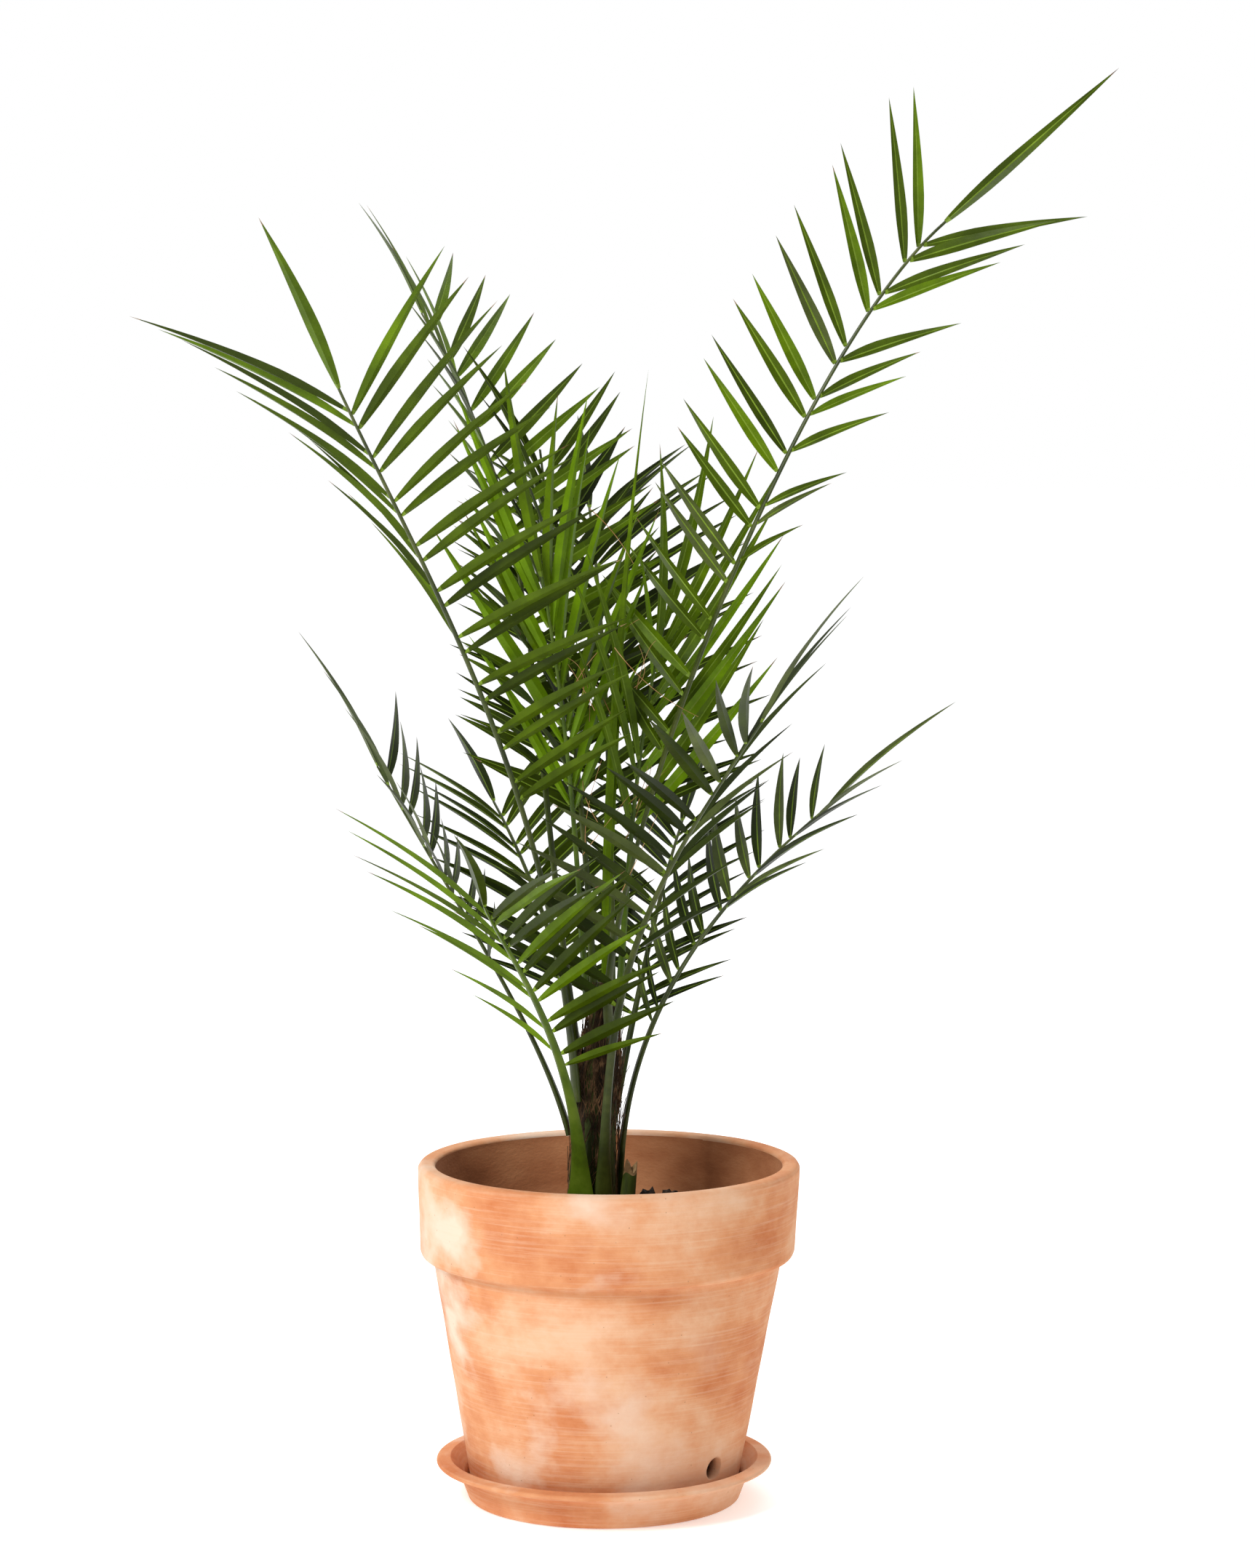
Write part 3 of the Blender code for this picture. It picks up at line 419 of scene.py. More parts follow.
def add_noise(tree, vector, scale, detail, roughness=0.5):
    values = {"Scale": scale, "Detail": detail, "Roughness": roughness}
    return add_node(tree, "ShaderNodeTexNoise", values, {"Vector": vector}).outputs["Fac"]


def add_stretch(tree, vector, stretch):
    return add_node(tree, "ShaderNodeMapping", {"Scale": stretch}, {"Vector": vector}).outputs["Vector"]


def add_range(tree, value, start, low, high):
    """The value, mapped from its start range to what runs from low to high."""
    values = {"From Min": start[0], "From Max": start[1], "To Min": low, "To Max": high}
    return add_node(tree, "ShaderNodeMapRange", values, {"Value": value}).outputs["Result"]


def add_mix(tree, factor, color, other):
    """The colour, changed into the other one by the factor."""
    sources = {"Factor": factor, "A": color}
    return add_node(tree, "ShaderNodeMix", {"B": (*other, 1)}, sources, data_type="RGBA").outputs["Result"]


def add_bloom(tree, place, mapped, color):
    """Lime over the clay's colour, thinned toward the right as painted side light and shade, brushed round
    the pot, with pores.
    """
    patches = add_range(tree, add_noise(tree, mapped, LIME_SCALE, 8), LIME_EDGE, 0.0, 1.0)
    # The lime patches are real bloom; their thinning toward +X is painted shade on the right and painted
    # light on the left
    across = add_node(tree, "ShaderNodeSeparateXYZ", sources={"Vector": place}).outputs["X"]
    sources = {0: patches, 1: add_range(tree, across, LIME_SIDE_LIGHT_FADE, LIME_SHADED_SIDE_LEAST, 1.0)}
    amount = add_node(tree, "ShaderNodeMath", sources=sources, operation="MULTIPLY").outputs["Value"]
    color = add_mix(tree, amount, color, LIME)
    streaks = add_noise(tree, add_stretch(tree, place, STREAK_STRETCH), LIME_SCALE, 9, 0.7)
    color = add_mix(tree, add_range(tree, streaks, STREAK_EDGE, 0.0, STREAK_MOST), color, STREAK)
    pores = add_node(tree, "ShaderNodeTexVoronoi", {"Scale": PORE_SCALE}, {"Vector": place})
    dots = add_range(tree, pores.outputs["Distance"], PORE_EDGE, PORE_MOST, 0.0)
    return add_mix(tree, dots, color, PORE)


def new_material(name, colors, scale, bump, stretch=(1, 1, 1), roughness=(0.7, 0.9), detail=5, gloss=0.2,
                 over=None):
    """A finish with fine relief; over, where given, lays more on its colour."""
    material = bpy.data.materials.new(name)
    material.use_nodes = True
    tree = material.node_tree
    shader = tree.nodes["Principled BSDF"]
    place = add_node(tree, "ShaderNodeTexCoord").outputs["Object"]
    mapped = add_stretch(tree, place, stretch)
    cloud = add_noise(tree, mapped, scale, detail, NOISE_ROUGHNESS)
    ramp = add_node(tree, "ShaderNodeValToRGB", sources={"Fac": cloud})
    steps = ramp.color_ramp.elements
    for step, where in ((steps[0], 0), (steps[1], 2)):
        step.position = RAMP_STEPS[where]
        step.color = (*colors[where], 1)
    steps.new(RAMP_STEPS[1]).color = (*colors[1], 1)
    color = ramp.outputs["Color"]
    if over:
        color = over(tree, place, mapped, color)
    grain = add_noise(tree, mapped, bump[0], RELIEF_DETAIL)
    relief = add_node(tree, "ShaderNodeBump", {"Strength": bump[1], "Distance": bump[2]}, {"Height": grain})
    tree.links.new(color, shader.inputs["Base Color"])
    tree.links.new(add_range(tree, cloud, (0.0, 1.0), *roughness), shader.inputs["Roughness"])
    tree.links.new(relief.outputs["Normal"], shader.inputs["Normal"])
    shader.inputs["Specular IOR Level"].default_value = gloss
    return material


def leaf_material(name, color):
    shades = [tuple(min(1.0, c * shade) for c in color) for shade in LEAF_SHADES]
    return new_material(name, shades, **LEAF_FINISH)


# Pieces and simple shapes


def new_object(name, bm, materials, smooth_angle):
    mesh = bpy.data.meshes.new(name)
    bm.to_mesh(mesh)
    bm.free()
    for material in materials:
        mesh.materials.append(material)
    if smooth_angle:
        mesh.shade_smooth()
        mesh.set_sharp_from_angle(angle=math.radians(smooth_angle))
    thing = bpy.data.objects.new(name, mesh)
    bpy.context.scene.collection.objects.link(thing)
    return thing


def stands_for(piece, slot, *nodes):
    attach(piece, "root")
    if nodes:
        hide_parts(*nodes)


def face_outward(bm):
    bmesh.ops.recalc_face_normals(bm, faces=bm.faces[:])


def bridge(bm, ring, next_ring, place=None):
    """Joins two rings of corners; place gives a face's material by its side."""
    for i in range(len(ring)):
        j = (i + 1) % len(ring)
        face = bm.faces.new((ring[i], ring[j], next_ring[j], next_ring[i]))
        if place:
            face.material_index = place(i)


def loft(bm, rings, place=None, foot_place=0, closed=True):
    """Skins rings of points into a tube; place gives a face's material by its ring and side."""
    made = [[bm.verts.new(p) for p in ring] for ring in rings]
    bm.faces.new(reversed(made[0])).material_index = foot_place
    for k, (ring, next_ring) in enumerate(zip(made, made[1:])):
        bridge(bm, ring, next_ring, place and (lambda i: place(k, i)))
    if closed:
        bm.faces.new(made[-1])
    return made[-1]


def close(bm, ring, end, place=0):
    """Closes a ring of corners to the end corner."""
    for i in range(len(ring)):
        bm.faces.new((ring[i], ring[(i + 1) % len(ring)], end)).material_index = place


def turns(sides):
    return [2 * math.pi * i / sides for i in range(sides)]


def around(a):
    return Vector((math.cos(a), math.sin(a), 0.0))


def ripple(a, round_scale, height):
    """Noise that runs round a body without a seam."""
    return noise.noise(Vector((math.cos(a) * round_scale, math.sin(a) * round_scale, height)))


def arc(center, radius, start, end, steps):
    points = []
    for i in range(steps + 1):
        a = math.radians(start + (end - start) * i / steps)
        points.append((center[0] + radius * math.cos(a), center[1] + radius * math.sin(a)))
    return points


def finer(profile):
    """The same profile with more points on its long stretches."""
    points = [profile[0]]
    for (r0, z0), (r1, z1) in zip(profile, profile[1:]):
        parts = max(1, math.ceil(math.hypot(r1 - r0, z1 - z0) / TURNED_STEP))
        points += [(r0 + (r1 - r0) * i / parts, z0 + (z1 - z0) * i / parts) for i in range(1, parts + 1)]
    return points


def turned(profile, sides, lean, shape=None):
    """A closed body turned about Z; shape moves each point a little, for a hand-made look."""
    bm = bmesh.new()
    rings = []
    for radius, height in profile:
        count = 1 if radius < 1e-6 else sides
        ring = []
        for a in turns(count):
            r, z = (radius, height) if shape is None else shape(a, radius, height)
            ring.append(bm.verts.new((r * math.cos(a) + lean * height, r * math.sin(a), z)))
        rings.append(ring)
    for ring, next_ring in zip(rings, rings[1:]):
        if len(ring) == 1:
            close(bm, next_ring, ring[0])
        elif len(next_ring) == 1:
            close(bm, ring, next_ring[0])
        else:
            bridge(bm, ring, next_ring)
    face_outward(bm)
    return bm


# Saucer, pot and soil


def pot_radius(z):
    return POT_BODY_TOP_RADIUS - POT_TAPER * (POT_BAND_BOTTOM - z)


def pot_inner_radius(z):
    low = pot_radius(POT_BAND_BOTTOM) - POT_WALL
    if z <= POT_BAND_BOTTOM:
        return pot_radius(z) - POT_WALL
    return low + (POT_LIP_INNER_RADIUS - low) * (z - POT_BAND_BOTTOM) / (POT_TOP - POT_BAND_BOTTOM)


def hand_made(a, radius, height):
    """Slow unevenness of thrown clay and the fine grooves of its turning."""
    spot = around(a) * 2.2 + Vector((0.0, 0.0, height * 9))
    groove = GROOVE_DEPTH * math.sin(height * GROOVE_PITCH + 2 * noise.noise(spot * 1.7))
    out = radius + UNEVEN_OUT * noise.noise(spot) + groove
    return out, height + UNEVEN_UP * noise.noise(spot + Vector((7, 3, 1)))


def make_saucer(clay):
    rim = SAUCER_HEIGHT
    foot = SAUCER_FOOT_ROUND
    lip = SAUCER_LIP_ROUND
    ease = SAUCER_EASE
    profile = [(0.0, 0.0), (SAUCER_FOOT_RADIUS / 2, 0.0)]
    profile += arc((SAUCER_FOOT_RADIUS - foot, foot), foot, -90, -15, 6)
    profile += [(SAUCER_STEP_RADIUS - ease, SAUCER_STEP_HEIGHT - 2 * ease),
                (SAUCER_STEP_RADIUS - ease / 4, SAUCER_STEP_HEIGHT - ease),
                (SAUCER_STEP_RADIUS + ease, SAUCER_STEP_HEIGHT - 0.4 * ease),
                (SAUCER_LIP_RADIUS - 1.5 * ease, rim - 2.75 * ease)]
    profile += arc((SAUCER_LIP_RADIUS - lip, rim - 1.4 * lip), lip, -45, 90, 10)
    profile += [(SAUCER_LIP_INNER_RADIUS + ease, rim - 0.1 * ease),
                (SAUCER_LIP_INNER_RADIUS, rim - 0.9 * ease),
                (SAUCER_WALL_RADIUS, SAUCER_STEP_HEIGHT - 2 * ease),
                (SAUCER_FLOOR_RADIUS, SAUCER_FLOOR),
                (0.0, SAUCER_FLOOR)]
    piece = new_object("saucer_clay", turned(finer(profile), TURNED_SIDES, 0.0), [clay], 35)
    stands_for(piece, "terracotta", "saucer")


def make_pot(clay, bare):
    foot = POT_FOOT_ROUND
    band = POT_BAND_ROUND
    lip = POT_LIP_ROUND
    inner = POT_LIP_INNER_ROUND
    under_band = POT_BAND_BOTTOM - 0.004
    profile = [(0.0, POT_BOTTOM)]
    profile += arc((POT_FOOT_RADIUS, POT_BOTTOM + foot), foot, -90, -10, 6)
    profile += [(pot_radius(under_band), under_band),
                (POT_BODY_TOP_RADIUS + 0.001, POT_BAND_BOTTOM)]
    profile += arc((POT_BAND_LOW_RADIUS - band, POT_BAND_BOTTOM + band), band, -90, 0, 8)
    profile += arc((POT_BAND_RADIUS - lip, POT_TOP - lip), lip, 0, 90, 10)
    profile += arc((POT_LIP_INNER_RADIUS + inner, POT_TOP - inner - 0.0005), inner, 95, 180, 8)
    profile += [(pot_inner_radius(POT_BAND_BOTTOM), POT_BAND_BOTTOM),
                (pot_inner_radius(POT_FLOOR), POT_FLOOR),
                (0.0, POT_FLOOR)]
    body = turned(finer(profile), TURNED_SIDES, POT_LEAN, hand_made)
    piece = new_object("pot_clay", body, [clay], 35)
    piece.data = drilled(piece, clay)
    piece.data.materials.append(bare)
    for face in piece.data.polygons:
        x, y, z = face.center
        away = math.hypot(x - POT_LEAN * z, y)
        if POT_FLOOR - 0.001 < z < POT_TOP - inner and away < pot_inner_radius(z) + 0.0012:
            face.material_index = len(piece.data.materials) - 1
    stands_for(piece, "terracotta", "pot")


def drilled(piece, clay):
    """The pot's mesh with the drain hole cut through its wall."""
    outward = around(math.radians(HOLE_FACING))
    radius = HOLE_DIAMETER / 2
    bm = bmesh.new()
    bmesh.ops.create_cone(bm, cap_ends=True, segments=HOLE_SIDES, radius1=radius, radius2=radius,
                          depth=HOLE_DEPTH)
    drill = new_object("drill", bm, [clay], 50)
    drill.rotation_mode = "QUATERNION"
    drill.rotation_quaternion = outward.to_track_quat("Z", "Y")
    drill.location = outward * pot_radius(HOLE_HEIGHT) + Vector((POT_LEAN * HOLE_HEIGHT, 0.0, HOLE_HEIGHT))
    cut = piece.modifiers.new("drain hole", "BOOLEAN")
    cut.operation = "DIFFERENCE"
    cut.object = drill
    bpy.context.view_layer.update()
    evaluated = piece.evaluated_get(bpy.context.evaluated_depsgraph_get())
    mesh = bpy.data.meshes.new_from_object(evaluated)
    piece.modifiers.clear()
    bpy.data.objects.remove(drill, do_unlink=True)
    return mesh


def rough_soil(a, radius, height):
    if height < SOIL_EDGE_HEIGHT - 0.001:
        return radius, height
    spot = around(a) * radius
    return radius, height + sum(rise * noise.noise(spot * scale) for scale, rise in SOIL_ROUGHNESS)


def soil_height(share):
    """The soil's height at a share of the way from its edge to the middle."""
    rise = math.sin(min(1.0, share * SOIL_SLOPE) * math.pi / 2)
    return SOIL_EDGE_HEIGHT + (SOIL_CROWN_HEIGHT - SOIL_EDGE_HEIGHT) * rise


def make_soil(earth):
    edge = pot_inner_radius(SOIL_EDGE_HEIGHT)
    profile = [(0.0, SOIL_BOTTOM),
               (pot_inner_radius(SOIL_BOTTOM) - SOIL_CLEAR, SOIL_BOTTOM),
               (edge - SOIL_CLEAR, SOIL_EDGE_HEIGHT - 0.002)]
    for i in range(SOIL_RINGS + 1):
        share = i / SOIL_RINGS
        profile.append(((edge - 0.004) * (1 - share) + 0.001 * share, soil_height(share)))
    profile.append((0.0, SOIL_CROWN_HEIGHT))
    bm = turned(profile, SOIL_SIDES, POT_LEAN, rough_soil)
    dice = random.Random(11)
    crumbs = [(x, y, radius, height, SOIL_CROWN_HEIGHT + CLOD_RISE) for x, y, radius, height in CLODS]
    for _ in range(CRUMB_COUNT):
        place = around(dice.uniform(0, 2 * math.pi))
        away = dice.uniform(*CRUMB_REACH)
        radius = dice.uniform(*CRUMB_RADIUS)
        height = dice.uniform(*CRUMB_HEIGHT)
        ground = soil_height(1 - away / edge) + height * 0.2
        crumbs.append((place.x * away, place.y * away, radius, height, ground))
    for x, y, radius, height, ground in crumbs:
        middle = Vector((RIM_SHIFT + x, y, ground))
        made = bmesh.ops.create_icosphere(bm, subdivisions=3 if radius > 0.007 else 2, radius=1.0)
        for vert in made["verts"]:
            unit = vert.co.copy()
            swell = 1.0 + 0.35 * noise.noise(unit * 2.3 + middle * 300)
            swell += 0.2 * noise.noise(unit * 6 + middle * 100)
            vert.co = middle + Vector((unit.x * radius, unit.y * radius, unit.z * height)) * swell
    stands_for(new_object("soil_crumbs", bm, [earth], 60), "potting_soil", "soil")


# Stem and stub


def stem_middle(z):
    return Vector((RIM_SHIFT + STEM_FOOT_SHIFT + STEM_LEAN * (z - STEM_FOOT), 0.0, z))


def stem_radius(z):
    rise = z - STEM_FOOT
    for (low, low_radius), (high, high_radius) in zip(STEM_RINGS, STEM_RINGS[1:]):
        if rise <= high:
            return low_radius + (high_radius - low_radius) * (rise - low) / (high - low)
    return STEM_RINGS[-1][1]


def stem_lobe(a, rise):
    """0 on the middle of a leaf base and 1 in the furrow between two."""
    return (1 - math.cos(STEM_LOBES * a + rise * STEM_TWIST)) / 2


def make_stem(bark, green, fibre):
    """Clasping leaf bases with brown edges, and the fibre that wraps them."""
    top = STEM_RINGS[-1][0]

    def is_green(k, i):
        rise = top * (k + 0.5) / STEM_STEPS
        a = 2 * math.pi * (i + 0.5) / STEM_SIDES
        ragged = 0.25 * ripple(a, 9, rise * 60)
        return int(stem_lobe(a, rise) + ragged < STEM_GREEN - rise * STEM_GREEN_FADE)

    rings = []
    for k in range(STEM_STEPS + 1):
        rise = top * k / STEM_STEPS
        z = STEM_FOOT + rise
        ring = []
        for a in turns(STEM_SIDES):
            radius = stem_radius(z) * (1.0 - STEM_GROOVE * stem_lobe(a, rise) ** 2)
            radius += 0.0008 * ripple(a, 3, z * 12) + 0.0005 * ripple(a, 26, z * 30)
            ring.append(stem_middle(z) + around(a) * radius)
        rings.append(ring)
    bm = bmesh.new()
    loft(bm, rings, is_green)
    stands_for(new_object("stem_bases", bm, [bark, green], 70), "stem_fibre", "stem")

    dice = random.Random(5)
    bm = bmesh.new()
    for _ in range(FIBRE_COUNT):
        a = dice.uniform(0, 2 * math.pi)
        z = STEM_FOOT + dice.triangular(*FIBRE_RISE)
        lean_way = dice.uniform(*FIBRE_LEAN)
        length = dice.uniform(*FIBRE_LENGTH)
        lift = dice.uniform(*FIBRE_LIFT)
        width = dice.uniform(*FIBRE_WIDTH)
        loose = dice.random() ** 3 * FIBRE_LOOSE
        rings = []
        for k in range(FIBRE_STEPS + 1):
            t = k / FIBRE_STEPS
            height = min(z + length * t, STEM_FOOT + top)
            out = around(a + lean_way * t)
            side = Vector((-out.y, out.x, 0.0)) * (width * (1 - 0.7 * t))
            middle = stem_middle(height) + out * (stem_radius(height) + lift + loose * t * t)
            depth = out * FIBRE_THICKNESS
            rings.append((middle - side, middle + depth, middle + side, middle - depth))
        loft(bm, rings)
    face_outward(bm)
    stands_for(new_object("stem_fibres", bm, [fibre], None), "stem_fibre")


def make_stub(green, dry):
    rings = []
    for k in range(STUB_STEPS + 1):
        share = k / STUB_STEPS
        radius = STUB_RADIUS * (1.0 - STUB_NARROWING * share ** 0.6)
        ring = []
        for a in turns(STUB_SIDES):
            x = RIM_SHIFT + STUB_FOOT[0] + STUB_LEAN * STUB_HEIGHT * share + radius * math.cos(a)
            y = STUB_FOOT[1] + STUB_FLATNESS * radius * math.sin(a)
            z = STEM_FOOT + STUB_HEIGHT * share * (1.0 + 0.10 * share ** 8 * math.cos(3 * a))
            if k == STUB_STEPS:
                z += STUB_RAGGED * ripple(a, 2.4, 4.0)
            ring.append(Vector((x, y, z)))
        rings.append(ring)
    bm = bmesh.new()
    end = loft(bm, rings, lambda k, i: int(k > STUB_STEPS * STUB_DRY_FROM), closed=False)
    middle = sum((v.co for v in end), Vector()) / STUB_SIDES
    close(bm, end, bm.verts.new(middle - Vector((0.0, 0.0, STUB_HOLLOW))), 1)
    stands_for(new_object("stub_cut", bm, [green, dry], 60), "leaf", "cut_stub")


# Fronds


class Stalk:
    """The curve of a frond: a Bezier route read by its length, with the frond's own side and upper face."""

    SAMPLES = 160

    def __init__(self, frond):
        self.frond = frond
        out = around(math.radians(frond["facing"]))
        z = frond["height"]
        start = stem_middle(z) + out * (stem_radius(z) + STALK_OFFSET)
        pulls = [start] + [Vector(p) + Vector((RIM_SHIFT, 0.0, 0.0)) for p in frond["route"]]
        self.points = [self.bezier(pulls, i / self.SAMPLES) for i in range(self.SAMPLES + 1)]
        self.reach = [0.0]
        for a, b in zip(self.points, self.points[1:]):
            self.reach.append(self.reach[-1] + (b - a).length)
        self.length = self.reach[-1]
        across = pulls[3] - pulls[0]
        across.z = 0.0
        across.normalize()
        self.level = Vector((-across.y, across.x, 0.0))
        _, _, side, upper = self.plain(0.0)
        self.foot_turn = math.atan2(out.dot(side), -out.dot(upper))

    @staticmethod
    def bezier(p, t):
        s = 1 - t
        return p[0] * s ** 3 + p[1] * (3 * s * s * t) + p[2] * (3 * s * t * t) + p[3] * t ** 3

    def plain(self, reach):
        reach = min(max(reach, 0.0), self.length)
        i = 0
        while i < self.SAMPLES - 1 and self.reach[i + 1] < reach:
            i += 1
        share = (reach - self.reach[i]) / (self.reach[i + 1] - self.reach[i])
        place = self.points[i].lerp(self.points[i + 1], share)
        low = self.points[min(i + 1, self.SAMPLES)] - self.points[max(i - 1, 0)]
        high = self.points[min(i + 2, self.SAMPLES)] - self.points[i]
        along = low.lerp(high, share).normalized()
        side = (self.level - along * self.level.dot(along)).normalized()
        return place, along, side, along.cross(side)

    def at(self, reach):
        place, along, side, upper = self.plain(reach)
        bare = self.frond["bare"]
        share = reach / self.length
        low, high = (math.radians(v) for v in self.frond["turn"])
        if share >= bare:
            turn = low + (high - low) * share
        else:
            blend = share / bare
            turn = self.foot_turn * (1 - blend) + (low + (high - low) * bare) * blend
        c, s = math.cos(turn), math.sin(turn)
        return place, along, side * c + upper * s, upper * c - side * s

    def ring(self, reach):
        place, _, side, upper = self.at(reach)
        width, thickness = self.size(reach)
        a = side * (width / 2)
        b = upper * (thickness / 2)
        return [place + a + b, place - a + b, place - a - b, place + a - b]

    def size(self, reach):
        width, thickness = self.frond["foot"]
        if reach < STALK_FOOT_LENGTH:
            ease = 1 - (1 - STALK_FOOT_SHARE) * reach / STALK_FOOT_LENGTH
            return width * ease, thickness * (1 - STALK_THINNING * reach / STALK_FOOT_LENGTH)
        share = (reach - STALK_FOOT_LENGTH) / (self.length - STALK_FOOT_LENGTH)
        wide = width * STALK_FOOT_SHARE
        thick = thickness * (1 - STALK_THINNING)
        return wide + (STALK_TIP_WIDTH - wide) * share, thick + (STALK_TIP_THICKNESS - thick) * share


def profile_at(values, u):
    low, middle, high = values
    return low * (1 - u) * (1 - 2 * u) + 4 * middle * u * (1 - u) + high * u * (2 * u - 1)


def stations(stalk):
    frond = stalk.frond
    start = frond["bare"] * stalk.length
    span = stalk.length - start - 3 * LEAFLET_FOOT
    pitch = span / frond["count"]
    for i in range(frond["count"]):
        shift = LEAFLET_PAIRING * pitch * (1 if i % 2 == 0 else -1)
        yield start + (i + 0.35) * pitch + shift, (i + 0.35) / frond["count"]


class Leaflet:
    """A folded blade: the corners it starts from, where it points, the way of its width, its upper face."""

    def __init__(self, corners, along, toward, upper, length, width):
        self.corners = corners
        self.root = sum(corners, Vector()) / len(corners)
        self.along = along
        self.rib = (toward - along * toward.dot(along)).normalized()
        face = self.rib.cross(along)
        self.face = face if face.dot(upper) > 0 else -face
        self.length = length
        self.width = width

    def belly(self, extra=0.0):
        middle = self.root + self.along * (self.length * LEAFLET_BELLY)
        middle += self.face * (self.length * LEAFLET_BOW)
        edge = self.rib * (self.width / 2 + extra)
        lift = self.face * LEAFLET_FOLD
        half = self.face * (LEAFLET_THICKNESS / 2 + extra)
        return [middle - edge + lift, middle + half, middle + edge + lift, middle - half]

    def tip(self):
        return self.root + self.along * self.length

    def test_shape(self, start):
        share = start / (self.length * LEAFLET_BELLY)
        foot = [a.lerp(b, share) for a, b in zip(self.corners, self.belly())]
        middle = sum(foot, Vector()) / len(foot)
        foot = [p + (p - middle).normalized() * LEAFLET_CLEAR for p in foot]
        points = foot + self.belly(LEAFLET_CLEAR) + [self.tip() + self.along * LEAFLET_CLEAR]
        faces = [(0, 1, 2), (0, 2, 3)]
        for i in range(4):
            j = (i + 1) % 4
            faces += [(i, j, 4 + i), (j, 4 + j, 4 + i), (4 + i, 4 + j, 8)]
        return points, faces


def box_of(points):
    return [min(p[k] for p in points) for k in range(3)], [max(p[k] for p in points) for k in range(3)]


class Crowd:
    """Everything placed so far, to keep new leaflets clear of it."""

    def __init__(self):
        self.things = []

    def add(self, points, faces, owner):
        self.things.append((*box_of(points), BVHTree.FromPolygons(points, faces), owner))

    def touches(self, points, faces, skip=None):
        low, high = box_of(points)
        tree = None
        for other_low, other_high, other, owner in self.things:
            if owner == skip or any(low[k] > other_high[k] or high[k] < other_low[k] for k in range(3)):
                continue
            if tree is None:
                tree = BVHTree.FromPolygons(points, faces)
            if tree.overlap(other):
                return True
        return False


def stalk_hull(stalk):
    points = []
    faces = []
    for i in range(HULL_STEPS + 1):
        points += stalk.ring(stalk.length * i / HULL_STEPS)
        if i:
            for j in range(4):
                k = (j + 1) % 4
                faces.append((4 * i - 4 + j, 4 * i - 4 + k, 4 * i + k, 4 * i + j))
    return points, faces


def grow_leaflets(stalk, crowd, dice):
    """One frond's leaflets, chosen by the source's rule and its seeded draws."""
    frond = stalk.frond
    leaflets = []
    own = Crowd()
    own.add(*stalk_hull(stalk), frond["name"])

    def keep_if_clear(leaflet):
        full = leaflet.test_shape(LEAFLET_OWN_SPACE[0])
        outer = leaflet.test_shape(LEAFLET_OWN_SPACE[1])
        if crowd.touches(*full, skip=frond["name"]) or own.touches(*outer):
            return False
        leaflets.append(leaflet)
        crowd.add(*full, frond["name"])
        own.add(*full, frond["name"])
        return True

    _, along, side, upper = stalk.at(stalk.length)
    end = stalk.ring(stalk.length)
    corners = [end[2], end[1], end[0], end[3]]
    keep_if_clear(Leaflet(corners, along, side, upper, frond["tip"], LEAFLET_WIDTH))
    for number, (reach, u) in reversed(list(enumerate(stations(stalk)))):
        for which, key in ((1, "near"), (-1, "far")):
            angles, lengths, lifts, first, share = frond[key]
            angle = profile_at(angles, u) + dice.uniform(-3, 3)
            raised = lifts[0] + (lifts[1] - lifts[0]) * u + dice.uniform(-4, 4)
            length = profile_at(lengths, u) * dice.uniform(0.93, 1.05)
            width = LEAFLET_WIDTH * dice.uniform(0.85, 1.08) * min(1.0, length / 0.13)
            if u < first or int((number + 1) * share) == int(number * share):
                continue
            start = reach if which == 1 else reach + LEAFLET_FOOT
            _, along, side, upper = stalk.at(start + LEAFLET_FOOT / 2)
            low, high = stalk.ring(start), stalk.ring(start + LEAFLET_FOOT)
            below, above = (3, 0) if which == 1 else (2, 1)
            corners = [low[below], low[above], high[above], high[below]]
            for shrink, (swing, tilt) in [(k, s) for k in SHRINKS for s in SWINGS]:
                a = math.radians(max(angle + swing, 6))
                b = math.radians(raised + tilt)
                out = side * (which * math.cos(b)) + upper * math.sin(b)
                direction = along * math.cos(a) + out * math.sin(a)
                leaflet = Leaflet(corners, direction, along, upper, length * shrink, width * shrink)
                if keep_if_clear(leaflet):
                    break
    return leaflets


def blade_width(t):
    """Share of the full width at t along a leaflet: a narrow foot, widest at a third, a long point."""
    if t < BLADE_WIDEST:
        growth = math.sin(t / BLADE_WIDEST * math.pi / 2) ** 0.8
        return BLADE_FOOT_SHARE + (1 - BLADE_FOOT_SHARE) * growth
    return max(0.0, 1 - ((t - BLADE_WIDEST) / (1 - BLADE_WIDEST)) ** 1.45)


